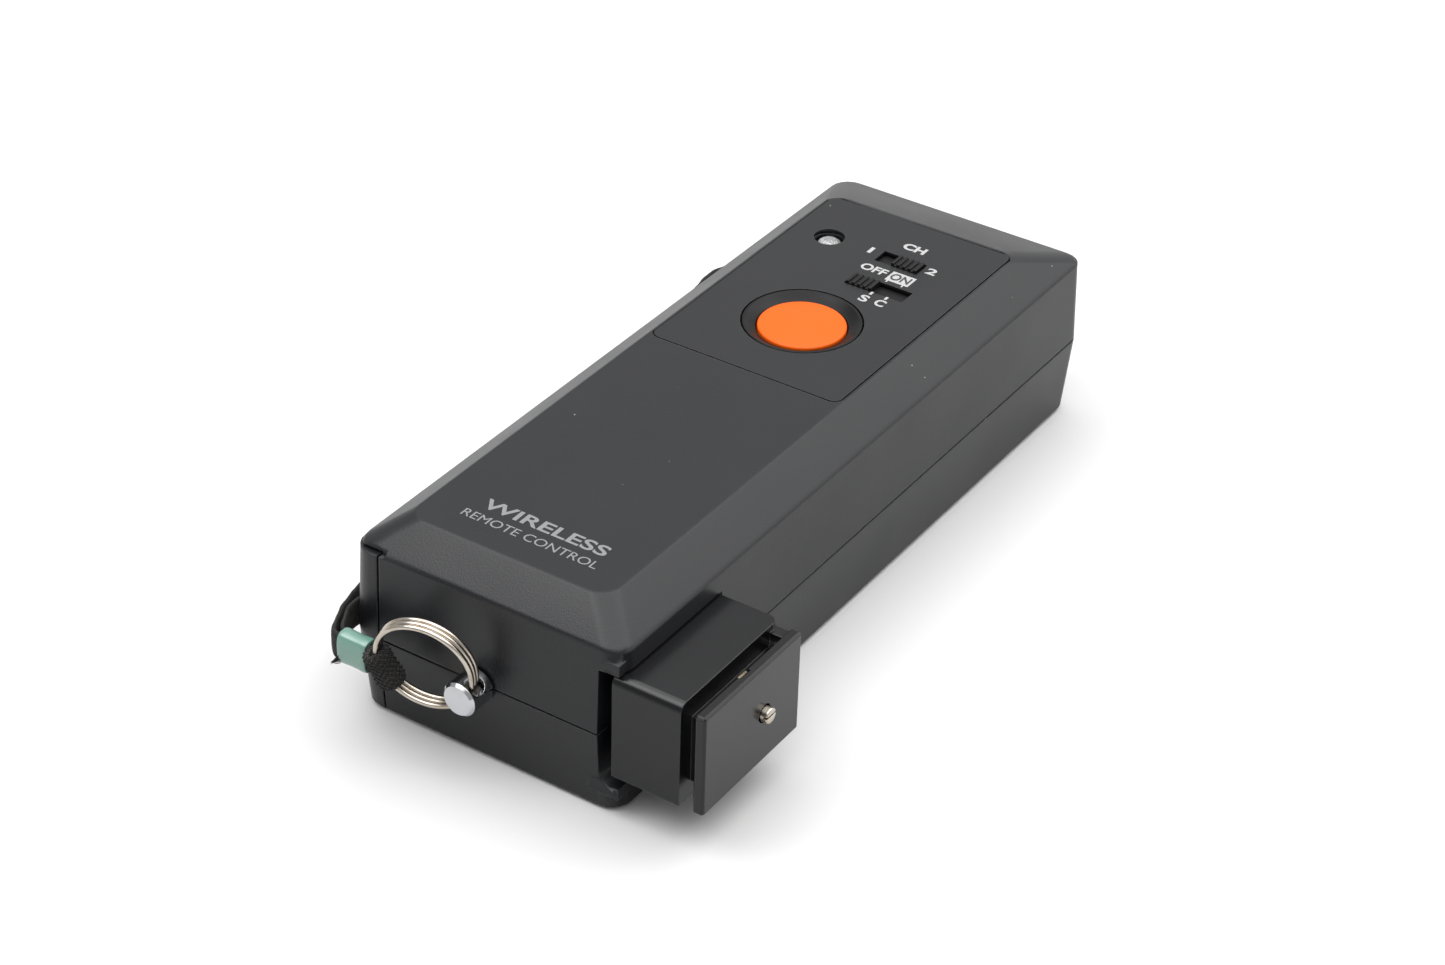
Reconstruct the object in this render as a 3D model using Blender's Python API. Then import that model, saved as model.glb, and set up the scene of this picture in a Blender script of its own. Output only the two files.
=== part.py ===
"""Hand-held infrared transmitter with a slide-on shoe adapter and a wrist strap.

Metres, +Z up. The origin is the centre of the case's flat base, +Y points to the end that
sends, and +X to the side that carries the shoe adapter.
"""

import math

import bmesh
import bpy
from mathutils import Matrix, Vector

# Clearances
GAP = 0.0003  # between pieces that touch
SLIDE_GAP = 0.0004  # between pieces that slide on each other

# Case
CASE_WIDTH = 0.052
CASE_LENGTH = 0.1466
CASE_HEIGHT = 0.0358
SEAM_HEIGHT = 0.01505  # the joint line of the two shells
SEAM_OPENING = 0.0004
BEVEL_HEIGHT = 0.0310  # lower edge of the sloped faces round the top
SIDE_BEVEL = 0.0065
NEAR_BEVEL = 0.0059
FAR_BEVEL = 0.0147
UPPER_DRAFT = 0.0005
LOWER_DRAFT = 0.0010
CORNER_RADIUS = 0.0037
BASE_EDGE = 0.0008
WALL = 0.0020
LIP_HEIGHT = 0.0019
LIP_WALL = 0.0006
CORNER_STEPS = 5

# Battery door, on the left side and round the near corner
DOOR_END = 0.0619  # from the near face
DOOR_WRAP = 0.0056  # from the left face, along the near face
DOOR_TOP = 0.0306
DOOR_GAP = 0.0004
NOTCH_WIDTH, NOTCH_HEIGHT, NOTCH_DEPTH = 0.0062, 0.0018, 0.0016
HOOK_WIDTH = 0.0050
HOOK_REACH = 0.0014
HOOK_THICKNESS = 0.0010

# Control panel, an inlaid sheet on the far part of the top
PANEL_NEAR = 0.0723  # from the near face to the panel's near edge
PANEL_THICKNESS = 0.0006
PANEL_MARGIN = 0.0005
PANEL_CORNER = 0.0015

# Release button
BUTTON_X = 0.0
BUTTON_Y = 0.0909  # from the near face
BUTTON_RADIUS = 0.0077
BUTTON_DOME = 0.0005
BUTTON_SINK = 0.0007  # rim below the panel's face
BUTTON_TRAVEL = 0.0012
BUTTON_FLANGE = 0.0010
BEZEL_RADIUS = 0.0103
BEZEL_MOUTH = 0.0098
BEZEL_DEPTH = 0.0040
SPRING_WIRE = 0.00025
BUTTON_STEM = 0.0022

# Slide switches: x, y of the knob at rest, the step between positions, positions, direction
KNOB_LENGTH = 0.0050
KNOB_WIDTH = 0.0034
KNOB_RISE = 0.0005  # above the panel's face
KNOB_RIBS = 4
SLOT_WIDTH = 0.0039
SLOT_DEPTH = 0.0009  # to the slider's cover plate
STEP_TRAVEL = 0.00305
COVER_THICKNESS = 0.0007
SWITCH_DEPTH = 0.0032  # from the top of the case to the switches' cans
MODE_X, MODE_Y, MODE_STEPS, MODE_WAY = 0.0018, 0.1079, 2, 1
CHANNEL_X, CHANNEL_Y, CHANNEL_STEPS, CHANNEL_WAY = 0.0051, 0.1176, 1, -1
SWITCHES = (
    ("mode", MODE_X, MODE_Y, MODE_STEPS, MODE_WAY),
    ("channel", CHANNEL_X, CHANNEL_Y, CHANNEL_STEPS, CHANNEL_WAY),
)
STEM_HALF = 0.0008  # half the width of the post that joins a slider to its switch
SWITCH_HALF = 0.0030  # half the width of a switch's metal can

# Lamp
LAMP_X, LAMP_Y = -0.0114, 0.1180
LAMP_RADIUS = 0.0025
LAMP_HOLE = 0.0028

# Circuit board
BOARD_HEIGHT = 0.0240
BOARD_THICKNESS = 0.0016
BOARD_WIDTH = 0.041
BOARD_NEAR, BOARD_FAR = 0.0660, 0.1310

# Emitters and their window in the far face
WINDOW_WIDTH, WINDOW_HEIGHT, WINDOW_THICKNESS = 0.028, 0.0100, 0.0014
WINDOW_BASE = 0.0182
EMITTER_SPREAD = 0.013
EMITTER_RADIUS = 0.0025

# Batteries, two columns of two
CELL_RADIUS, CELL_BODY, CELL_TIP = 0.0071, 0.0495, 0.0010
CELL_TIP_RADIUS = 0.0027
CELL_PITCH = 0.0146
CELL_LEFT, CELL_LOW = 0.0031, 0.0025  # from the case's left face and base to the cells
CRADLE_NEAR = 0.0045
CRADLE_WALL = 0.0010
CONTACT_THICKNESS = 0.0004
SPRING_ROOM = 0.0029

# Shoe adapter
POCKET_DEPTH = 0.0044
POCKET_LENGTH = 0.0278
POCKET_LOW, POCKET_HIGH = 0.0055, 0.0272
POCKET_CORNER = 0.0020
BLOCK_INSET = 0.0005  # from the near face
BLOCK_LENGTH = 0.0268
BLOCK_LOW = 0.0080
BLOCK_HEIGHT = 0.0189
BLOCK_BACK = 0.0020  # inside the case's side
BLOCK_PROUD = 0.0104
BLOCK_EDGE = 0.0015
SHOE_WIDTH = 0.0186  # the standard foot, across the rails
SHOE_MIDDLE = 0.0091  # above the block's underside
SHOE_THICKNESS = 0.0020
SHOE_GROOVE = 0.0024
SHOE_NECK = 0.0122
SHOE_STOP = 0.0026
RAIL_NECK, RAIL_HEAD = 0.0060, 0.0100
RAIL_HEAD_THICKNESS = 0.0020
RAIL_START = 0.0045
RAIL_LIP = 0.0020  # the block's wall that hooks behind the rail's head
RAIL_SCREW, RAIL_SCREW_HEAD = 0.0010, 0.0019
PIN_Y = 0.0170  # from the near face
PIN_RADIUS = 0.00135
PIN_RISE = 0.0013
PIN_TRAVEL = 0.0010
PIN_SLOT = 0.0004
PIN_COLLAR, PIN_COLLAR_THICKNESS = 0.0019, 0.0008
PIN_ROOM = 0.0060  # the length of the chamber for the collar and its spring
PIN_INSET = 0.0030  # from the case's side to the chamber's closed end
EARTH_Y, EARTH_WIDTH = 0.0132, 0.0023

# Strap post and split ring
POST_X = -0.0006
POST_RADIUS = 0.0030
POST_RISE = 0.0055
POST_BEVEL = 0.0004
POST_SHANK = 0.0015
POST_TAIL = 0.0041  # the shank's length behind the near face
POST_HOLE = 0.00175
POST_HOLE_OUT = 0.0032  # from the near face
POST_HOLE_LEAN = 35.0  # degrees from upright, towards +X
NUT_RADIUS, NUT_THICKNESS = 0.0024, 0.0012
RING_RADIUS = 0.0081  # to the middle of the coiled wire
RING_WIDTH, RING_THICKNESS = 0.0026, 0.0009
RING_LEAN = -0.257  # how far the ring leans out from the near face, as a share
RING_SLACK = 0.0003  # the wire lies this far outside the hole's middle, because it is curved

# Strap, a flat cord that stands on its edge: folded round the ring, gripped by a sleeve, then one loop
STRAP_WIDTH, STRAP_THICKNESS = 0.0050, 0.0010
EYE_ANGLE = 58.0  # degrees round the ring from the point furthest from the post
EYE_RADIUS, EYE_WIDTH = 0.0021, 0.0056
SLEEVE_LENGTH, SLEEVE_HEIGHT, SLEEVE_DEPTH = 0.0054, 0.0060, 0.0036
SLEEVE_FROM_EYE = 0.00567  # between the middles of the eye and of the sleeve
SLEEVE_FROM_SIDE = 0.0062  # inside the case's left side, at most
SLEEVE_Y, SLEEVE_Z = 0.0004, 0.0166  # y from the eye's middle
STRAP_ROUTE = (  # x and y from the sleeve's middle
    (-0.0030, -0.0006, 0.0165), (-0.0040, -0.0004, 0.0165), (-0.0049, 0.0004, 0.0165),
    (-0.0056, 0.0018, 0.0164), (-0.0066, 0.0039, 0.0163), (-0.0075, 0.0059, 0.0162),
    (-0.0082, 0.0082, 0.0160), (-0.0091, 0.0111, 0.0157), (-0.0104, 0.0155, 0.0147),
    (-0.0122, 0.0215, 0.0125), (-0.0144, 0.0295, 0.0093), (-0.0168, 0.0387, 0.0060),
    (-0.0191, 0.0485, 0.0036), (-0.0210, 0.0601, 0.0027), (-0.0226, 0.0731, 0.0026),
    (-0.0240, 0.0871, 0.0026), (-0.0253, 0.1011, 0.0026), (-0.0265, 0.1141, 0.0026),
    (-0.0275, 0.1251, 0.0026), (-0.0284, 0.1329, 0.0026), (-0.0294, 0.1393, 0.0026),
    (-0.0301, 0.1436, 0.0026), (-0.0296, 0.1477, 0.0026), (-0.0268, 0.1512, 0.0026),
    (-0.0226, 0.1527, 0.0026), (-0.0183, 0.1517, 0.0026), (-0.0150, 0.1488, 0.0026),
    (-0.0133, 0.1447, 0.0026), (-0.0127, 0.1396, 0.0026), (-0.0123, 0.1301, 0.0026),
    (-0.0122, 0.1181, 0.0026), (-0.0122, 0.1051, 0.0026), (-0.0121, 0.0911, 0.0026),
    (-0.0118, 0.0771, 0.0026), (-0.0112, 0.0631, 0.0028), (-0.0104, 0.0501, 0.0037),
    (-0.0096, 0.0401, 0.0058), (-0.0088, 0.0311, 0.0089), (-0.0080, 0.0231, 0.0120),
    (-0.0073, 0.0166, 0.0143), (-0.0070, 0.0106, 0.0157), (-0.0066, 0.0065, 0.0162),
    (-0.0056, 0.0043, 0.0163), (-0.0045, 0.0023, 0.0164), (-0.0038, 0.0013, 0.0165),
    (-0.0030, 0.0007, 0.0165),
)
STRAP_STEPS = 2  # rings between two points of the route

# Screws of the case
SCREWS_NEAR = ((0.0122, 0.0113), (0.0122, 0.0583))  # x, and y from the near face
SCREWS_FAR = ((-0.0190, 0.0093), (0.0190, 0.0093))  # x, and y from the far face
BOSS_RADIUS = 0.0031
SCREW_HEAD, SCREW_SHANK = 0.0023, 0.0011
SCREW_SINK = 0.0008
SCREW_LENGTH = 0.0200

# Places that follow from the values above
SIDE_X = CASE_WIDTH / 2
NEAR_Y = -CASE_LENGTH / 2
FAR_Y = CASE_LENGTH / 2
CASE_SCREWS = [(x, NEAR_Y + y) for x, y in SCREWS_NEAR] + [(x, FAR_Y - y) for x, y in SCREWS_FAR]
BLOCK_TOP = BLOCK_LOW + BLOCK_HEIGHT
SHOE_Z = BLOCK_LOW + SHOE_MIDDLE
BLOCK_NEAR = NEAR_Y + BLOCK_INSET
BLOCK_FAR = BLOCK_NEAR + BLOCK_LENGTH
BLOCK_FACE = SIDE_X + BLOCK_PROUD
SHOE_FACE = BLOCK_FACE + SHOE_GROOVE + SHOE_THICKNESS
PANEL_TOP = CASE_HEIGHT
PANEL_BASE = PANEL_TOP - PANEL_THICKNESS
BOARD_TOP = BOARD_HEIGHT + BOARD_THICKNESS
SWITCH_TOP = CASE_HEIGHT - SWITCH_DEPTH
PIN_BACK = SIDE_X + PIN_INSET
POST_HOLE_PLACE = Vector((POST_X, NEAR_Y - POST_HOLE_OUT, SEAM_HEIGHT))
LEAN = math.radians(POST_HOLE_LEAN)
RING_AXIS = Vector((math.sin(LEAN), 0.0, math.cos(LEAN)))


# Helpers


def material(name, colour, roughness, metallic=0.0, transmission=0.0):
    made = bpy.data.materials.new(name)
    made.use_nodes = True
    shader = made.node_tree.nodes["Principled BSDF"]
    shader.inputs["Base Color"].default_value = (*colour, 1.0)
    shader.inputs["Roughness"].default_value = roughness
    shader.inputs["Metallic"].default_value = metallic
    shader.inputs["Transmission Weight"].default_value = transmission
    made.diffuse_color = (*colour, 1.0)
    return made


def add(name, bm, finish=None, smooth=False):
    """An object from a bmesh, whose faces are turned outwards; a cutter when it has no finish."""
    bmesh.ops.recalc_face_normals(bm, faces=bm.faces)
    mesh = bpy.data.meshes.new(name)
    bm.to_mesh(mesh)
    bm.free()
    if smooth:
        mesh.shade_smooth()
        mesh.set_sharp_from_angle(angle=math.radians(35))
    obj = bpy.data.objects.new(name, mesh)
    bpy.context.scene.collection.objects.link(obj)
    if finish:
        mesh.materials.append(finish)
    else:
        obj.hide_render = True
        obj.display_type = "WIRE"
    return obj


def combine(obj, tool, operation):
    step = obj.modifiers.new(tool.name, "BOOLEAN")
    step.operation = operation
    step.object = tool
    step.solver = "EXACT"
    return obj


def cut(obj, *tools):
    for tool in tools:
        combine(obj, tool, "DIFFERENCE")
    return obj


def join(obj, *tools):
    for tool in tools:
        combine(obj, tool, "UNION")
    return obj


def loft(bm, rings):
    """Skins a stack of equal rings of points and caps both ends."""
    rows = [[bm.verts.new(point) for point in ring] for ring in rings]
    count = len(rows[0])
    for low, high in zip(rows, rows[1:]):
        for i in range(count):
            j = (i + 1) % count
            bm.faces.new((low[i], low[j], high[j], high[i]))
    bm.faces.new(list(reversed(rows[0])))
    bm.faces.new(rows[-1])


def rounded_outline(x0, x1, y0, y1, radius, steps=CORNER_STEPS):
    radius = max(radius, 0.0001)
    corners = ((x1 - radius, y1 - radius, 0), (x0 + radius, y1 - radius, 90), (x0 + radius, y0 + radius, 180),
               (x1 - radius, y0 + radius, 270))
    outline = []
    for cx, cy, start in corners:
        for i in range(steps + 1):
            angle = math.radians(start + 90 * i / steps)
            outline.append((cx + radius * math.cos(angle), cy + radius * math.sin(angle)))
    return outline


def box(name, low, high, finish=None, edge=0.0):
    bm = bmesh.new()
    size = Vector(high) - Vector(low)
    place = Matrix.Translation((Vector(low) + Vector(high)) / 2) @ Matrix.Diagonal((*size, 1.0))
    bmesh.ops.create_cube(bm, size=1.0, matrix=place)
    if edge:
        bmesh.ops.bevel(bm, geom=list(bm.edges), offset=edge, segments=1, affect="EDGES", profile=0.5)
    return add(name, bm, finish)


def plate(name, outline, low, high, finish=None):
    bm = bmesh.new()
    loft(bm, [[(x, y, z) for x, y in outline] for z in (low, high)])
    return add(name, bm, finish)


def turned(name, profile, base, axis, finish=None, steps=32):
    """A round piece from (radius, height) pairs along an axis."""
    turn = Vector((0, 0, 1)).rotation_difference(Vector(axis)).to_matrix()
    angles = [2 * math.pi * i / steps for i in range(steps)]
    around = [Vector((math.cos(a), math.sin(a), 0.0)) for a in angles]
    rings = [[turn @ (way * radius + Vector((0, 0, height))) + Vector(base) for way in around]
             for radius, height in profile]
    bm = bmesh.new()
    loft(bm, rings)
    return add(name, bm, finish, smooth=finish is not None)


def rod(name, radius, start, end, finish=None, steps=24):
    axis = Vector(end) - Vector(start)
    return turned(name, ((radius, 0.0), (radius, axis.length)), start, axis, finish, steps)


def coil(name, radius, wire, turns, base, axis, length, finish, points_per_turn=8):
    """A compression spring: a round wire along a helix."""
    turn = Vector((0, 0, 1)).rotation_difference(Vector(axis)).to_matrix()
    count = int(turns * points_per_turn)
    points = []
    for i in range(count + 1):
        angle = 2 * math.pi * turns * i / count
        height = wire + (length - 2 * wire) * i / count
        point = Vector((radius * math.cos(angle), radius * math.sin(angle), height))
        points.append(turn @ point + Vector(base))
    return tube(name, points, wire, finish, 0)


def tube(name, points, radius, finish, resolution, closed=False):
    curve = bpy.data.curves.new(name, "CURVE")
    curve.dimensions = "3D"
    curve.bevel_depth = radius
    curve.bevel_resolution = resolution
    curve.render_resolution_u = 0
    curve.use_fill_caps = not closed
    spline = curve.splines.new("POLY")
    spline.points.add(len(points) - 1)
    for spot, point in zip(spline.points, points):
        spot.co = (*point, 1.0)
    spline.use_cyclic_u = closed
    curve.materials.append(finish)
    obj = bpy.data.objects.new(name, curve)
    bpy.context.scene.collection.objects.link(obj)
    return obj


def smooth_route(route, steps):
    """Points along a smooth curve through the given ones, with some steps between each two."""
    knots = [Vector(p) for p in route]
    ends = [2 * knots[0] - knots[1]] + knots + [2 * knots[-1] - knots[-2]]
    points = []
    for a, b, c, d in zip(ends, ends[1:], ends[2:], ends[3:]):
        for i in range(steps):
            t = i / steps
            points.append(0.5 * ((2 * b) + (c - a) * t + (2 * a - 5 * b + 4 * c - d) * t * t
                                 + (3 * b - a - 3 * c + d) * t ** 3))
    return points + [knots[-1]]


def hoop(name, grow, finish=None, steps=44):
    """The ring's wire bundle as a closed hoop, grown by an allowance all round."""
    centre, out, axis = ring_frame()
    wide, thick = RING_WIDTH / 2 + grow, RING_THICKNESS / 2 + grow
    corner = 0.00025 + grow / 2
    section = [(thick, wide - corner), (thick - corner, wide), (corner - thick, wide), (-thick, wide - corner),
               (-thick, corner - wide), (corner - thick, -wide), (thick - corner, -wide), (thick, corner - wide)]
    bm = bmesh.new()
    rows = []
    for i in range(steps):
        angle = 2 * math.pi * i / steps
        way = math.cos(angle) * out + math.sin(angle) * RING_AXIS
        rows.append([bm.verts.new(centre + way * (RING_RADIUS + r) + axis * a) for r, a in section])
    for k in range(steps):
        here, after = rows[k], rows[(k + 1) % steps]
        for i in range(len(section)):
            j = (i + 1) % len(section)
            bm.faces.new((here[i], here[j], after[j], after[i]))
    return add(name, bm, finish, smooth=finish is not None)


# Case


def case_ring(height, inset):
    """The case's outline at a height, moved inwards by an inset."""
    if height <= SEAM_HEIGHT:
        draft = LOWER_DRAFT * (1 - height / SEAM_HEIGHT)
        sides = near = far = draft
    else:
        up = min(1.0, (height - SEAM_HEIGHT) / (BEVEL_HEIGHT - SEAM_HEIGHT))
        slope = max(0.0, (height - BEVEL_HEIGHT) / (CASE_HEIGHT - BEVEL_HEIGHT))
        draft = UPPER_DRAFT * up
        sides, near, far = (draft + slope * run for run in (SIDE_BEVEL, NEAR_BEVEL, FAR_BEVEL))
    return [
        (x, y, height)
        for x, y in rounded_outline(-SIDE_X + sides + inset, SIDE_X - sides - inset, NEAR_Y + near + inset,
                                    FAR_Y - far - inset, CORNER_RADIUS - inset * 0.8)
    ]


def set_height(ring, height):
    return [(x, y, height) for x, y, _ in ring]


def upper_solid(name, finish):
    ceiling = CASE_HEIGHT - WALL
    lip_top = SEAM_HEIGHT + LIP_HEIGHT + GAP
    bottom = SEAM_HEIGHT + SEAM_OPENING / 2
    rebate = WALL - LIP_WALL - GAP
    top_edge = 0.0004
    rings = [
        set_height(case_ring(CASE_HEIGHT, WALL * 0.7), ceiling),
        set_height(case_ring(BEVEL_HEIGHT, WALL), BEVEL_HEIGHT - 0.0006),
        set_height(case_ring(SEAM_HEIGHT + 0.0001, WALL), lip_top),
        set_height(case_ring(SEAM_HEIGHT + 0.0001, rebate), lip_top),
        set_height(case_ring(SEAM_HEIGHT + 0.0001, rebate), bottom),
        set_height(case_ring(SEAM_HEIGHT + 0.0001, 0.0), bottom),
        case_ring(BEVEL_HEIGHT - top_edge, 0.0),
        case_ring(BEVEL_HEIGHT + top_edge, 0.0),
        case_ring(CASE_HEIGHT - top_edge / 2, 0.0),
        set_height(case_ring(CASE_HEIGHT, top_edge / 2), CASE_HEIGHT),
    ]
    bm = bmesh.new()
    loft(bm, rings)
    return add(name, bm, finish)


def lower_solid(name, finish):
    top = SEAM_HEIGHT - SEAM_OPENING / 2
    lip = WALL - LIP_WALL
    rings = [
        set_height(case_ring(0.0, BASE_EDGE), 0.0),
        case_ring(BASE_EDGE, 0.0),
        set_height(case_ring(SEAM_HEIGHT, 0.0), top),
        set_height(case_ring(SEAM_HEIGHT, lip), top),
        set_height(case_ring(SEAM_HEIGHT, lip), SEAM_HEIGHT + LIP_HEIGHT),
        set_height(case_ring(SEAM_HEIGHT, WALL), SEAM_HEIGHT + LIP_HEIGHT),
        case_ring(SEAM_HEIGHT, WALL),
        case_ring(WALL, WALL),
    ]
    bm = bmesh.new()
    loft(bm, rings)
    return add(name, bm, finish)


def full_solid(name, inset, low, high, finish=None):
    """The case as one block, moved inwards by an inset; low and high are its base and top."""
    bm = bmesh.new()
    heights = [low, SEAM_HEIGHT, BEVEL_HEIGHT, high] if high > BEVEL_HEIGHT else [low, SEAM_HEIGHT, high]
    rings = [case_ring(max(h, 0.0), inset) for h in heights]
    rings[0] = set_height(case_ring(0.0, inset + (BASE_EDGE if inset == 0 else 0.0)), low)
    if inset == 0:
        rings.insert(1, case_ring(BASE_EDGE, 0.0))
    loft(bm, rings)
    return add(name, bm, finish)


def door_region(name, gap):
    """What belongs to the door: the left side, the near corner and a strip of the base."""
    far = NEAR_Y + DOOR_END + gap
    over = 0.002
    return box(name, (-SIDE_X - over, NEAR_Y - over, -over), (-SIDE_X + DOOR_WRAP + gap, far, DOOR_TOP + gap))


def pocket_cutter(name):
    """The room for the shoe adapter, with a round corner along its foot."""
    over = 0.003
    x0, x1 = SIDE_X - POCKET_DEPTH, SIDE_X + over
    turns = [math.radians(22.5 * i) for i in range(5)]
    corner = [(x0 + POCKET_CORNER * (1 - math.sin(a)), POCKET_LOW + POCKET_CORNER * (1 - math.cos(a)))
              for a in turns]
    outline = corner + [(x0, POCKET_HIGH), (x1, POCKET_HIGH), (x1, POCKET_LOW)]
    bm = bmesh.new()
    loft(bm, [[(x, y, z) for x, z in outline] for y in (NEAR_Y - over, NEAR_Y + POCKET_LENGTH)])
    return add(name, bm)


def pocket_wall(name, low, high):
    """The wall behind and round the shoe pocket, inside the case."""
    return box(name, (SIDE_X - POCKET_DEPTH - WALL, NEAR_Y + 0.0006, low),
               (SIDE_X - 0.0008, NEAR_Y + POCKET_LENGTH + WALL, high))


def roof_height(y):
    """The height inside the upper shell that is safely below its outer face at a place along the case."""
    slope = (CASE_HEIGHT - BEVEL_HEIGHT) / FAR_BEVEL
    return min(CASE_HEIGHT - WALL / 2, BEVEL_HEIGHT + (FAR_Y - UPPER_DRAFT - BOSS_RADIUS - y) * slope - WALL / 2)


def screw_posts(shell, name, low, high=None):
    for number, (x, y) in enumerate(CASE_SCREWS, 1):
        top = high or roof_height(y)
        join(shell, rod(f"{name}_boss_{number}", BOSS_RADIUS, (x, y, low), (x, y, top), steps=16))


def screw_holes(shell, name, radius, low, high):
    for number, (x, y) in enumerate(CASE_SCREWS, 1):
        cut(shell, rod(f"{name}_bore_{number}", radius, (x, y, low), (x, y, high), steps=16))


def slot_span(x, steps, way, half):
    ends = (x, x + way * steps * STEP_TRAVEL)
    return min(ends) - half, max(ends) + half


def make_upper_shell(finish):
    shell = upper_solid("upper_shell", finish)
    join(shell, pocket_wall("upper_pocket_wall", SEAM_HEIGHT + SEAM_OPENING / 2, POCKET_HIGH + WALL))
    screw_posts(shell, "upper", SEAM_HEIGHT + 0.0006)
    cut(shell, pocket_cutter("upper_pocket"), door_region("upper_door_cut", DOOR_GAP))
    notch_x = -SIDE_X + 0.0010
    cut(shell, box("nail_notch", (notch_x, NEAR_Y - 0.001, DOOR_TOP),
                   (notch_x + NOTCH_WIDTH, NEAR_Y + NOTCH_DEPTH, DOOR_TOP + NOTCH_HEIGHT)))
    ring = case_ring(CASE_HEIGHT, PANEL_MARGIN - GAP)
    xs, ys = [p[0] for p in ring], [p[1] for p in ring]
    recess = rounded_outline(min(xs), max(xs), NEAR_Y + PANEL_NEAR - GAP, max(ys), PANEL_CORNER + GAP)
    cut(shell, plate("panel_recess", recess, PANEL_BASE - GAP, CASE_HEIGHT + 0.002))
    through = (CASE_HEIGHT - 0.006, CASE_HEIGHT + 0.002)
    by = NEAR_Y + BUTTON_Y
    cut(shell, rod("bezel_hole", BEZEL_RADIUS + GAP, (BUTTON_X, by, through[0]), (BUTTON_X, by, through[1]),
                   steps=40))
    ly = NEAR_Y + LAMP_Y
    cut(shell, rod("lamp_hole", LAMP_HOLE, (LAMP_X, ly, through[0]), (LAMP_X, ly, through[1])))
    for name, x, y, steps, way in SWITCHES:
        half = cover_half(steps) + GAP
        x0, x1 = slot_span(x, steps, way, half)
        wide = SLOT_WIDTH / 2 + 0.0010 + GAP
        cut(shell, box(f"{name}_cover_room", (x0, NEAR_Y + y - wide, through[0]),
                       (x1, NEAR_Y + y + wide, through[1])))
    cut(shell, box("window_cut", (-WINDOW_WIDTH / 2, FAR_Y - 0.004, WINDOW_BASE),
                   (WINDOW_WIDTH / 2, FAR_Y + 0.002, WINDOW_BASE + WINDOW_HEIGHT)))
    cut(shell, rod("upper_post_hole", POST_SHANK + GAP, (POST_X, NEAR_Y - 0.002, SEAM_HEIGHT),
                   (POST_X, NEAR_Y + 0.004, SEAM_HEIGHT)))
    screw_holes(shell, "upper", SCREW_SHANK + GAP, SEAM_HEIGHT - 0.002, SCREW_SINK + SCREW_LENGTH + 0.001)
    rail_holes(shell, "upper")
    return shell


def make_lower_shell(finish):
    shell = lower_solid("lower_shell", finish)
    join(shell, pocket_wall("lower_pocket_wall", POCKET_LOW - WALL, SEAM_HEIGHT - SEAM_OPENING / 2))
    screw_posts(shell, "lower", WALL / 2, SEAM_HEIGHT)
    cut(shell, pocket_cutter("lower_pocket"), door_region("lower_door_cut", DOOR_GAP))
    lip_low = SEAM_HEIGHT - SEAM_OPENING / 2
    cut(shell, box("lip_break", (SIDE_X - POCKET_DEPTH - WALL - GAP, NEAR_Y - 0.001, lip_low),
                   (SIDE_X + 0.001, NEAR_Y + POCKET_LENGTH + WALL + GAP, SEAM_HEIGHT + LIP_HEIGHT + 0.001)))
    cut(shell, rod("lower_post_hole", POST_SHANK + GAP, (POST_X, NEAR_Y - 0.002, SEAM_HEIGHT),
                   (POST_X, NEAR_Y + 0.004, SEAM_HEIGHT)))
    screw_holes(shell, "lower", SCREW_SHANK + GAP, -0.002, SEAM_HEIGHT + 0.002)
    screw_holes(shell, "head", SCREW_HEAD + GAP, -0.002, SCREW_SINK + SCREW_HEAD * 0.6 + GAP)
    rail_holes(shell, "lower")
    return shell


def make_door(finish):
    door = full_solid("battery_door", 0.0, 0.0, DOOR_TOP, finish)
    hollow = full_solid("door_hollow", WALL, WALL, CASE_HEIGHT)
    keep = door_region("door_keep", 0.0)
    combine(door, keep, "INTERSECT")
    cut(door, hollow)
    inner = -SIDE_X + WALL
    end = NEAR_Y + DOOR_END
    middle = SEAM_HEIGHT
    start = inner + GAP + 0.0002
    hook = box("door_hook", (start, end - 0.006, middle - HOOK_WIDTH / 2),
               (start + HOOK_THICKNESS, end + DOOR_GAP + HOOK_REACH, middle + HOOK_WIDTH / 2))
    root = box("door_hook_root", (inner - 0.0006, end - 0.005, middle - HOOK_WIDTH / 2 + 0.0003),
               (start + 0.0005, end - 0.001, middle + HOOK_WIDTH / 2 - 0.0003))
    return join(door, root, hook)


def case_screw(number, x, y, finish):
    head = SCREW_SINK
    profile = ((SCREW_HEAD, 0.0), (SCREW_HEAD, SCREW_HEAD * 0.6), (SCREW_SHANK, SCREW_HEAD * 0.6),
               (SCREW_SHANK, SCREW_LENGTH))
    screw = turned(f"case_screw_{number}", profile, (x, y, head), (0, 0, 1), finish, 20)
    for k, (dx, dy) in enumerate(((0.0014, 0.0003), (0.0003, 0.0014))):
        cut(screw, box(f"cross_{number}_{k}", (x - dx, y - dy, head - 0.001), (x + dx, y + dy, head + 0.0007)))
    return screw


# Controls


def cover_half(steps):
    """Half the length that the slider's cover plate needs to fill its slot at every position."""
    return KNOB_LENGTH / 2 + steps * STEP_TRAVEL + 0.0006


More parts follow.
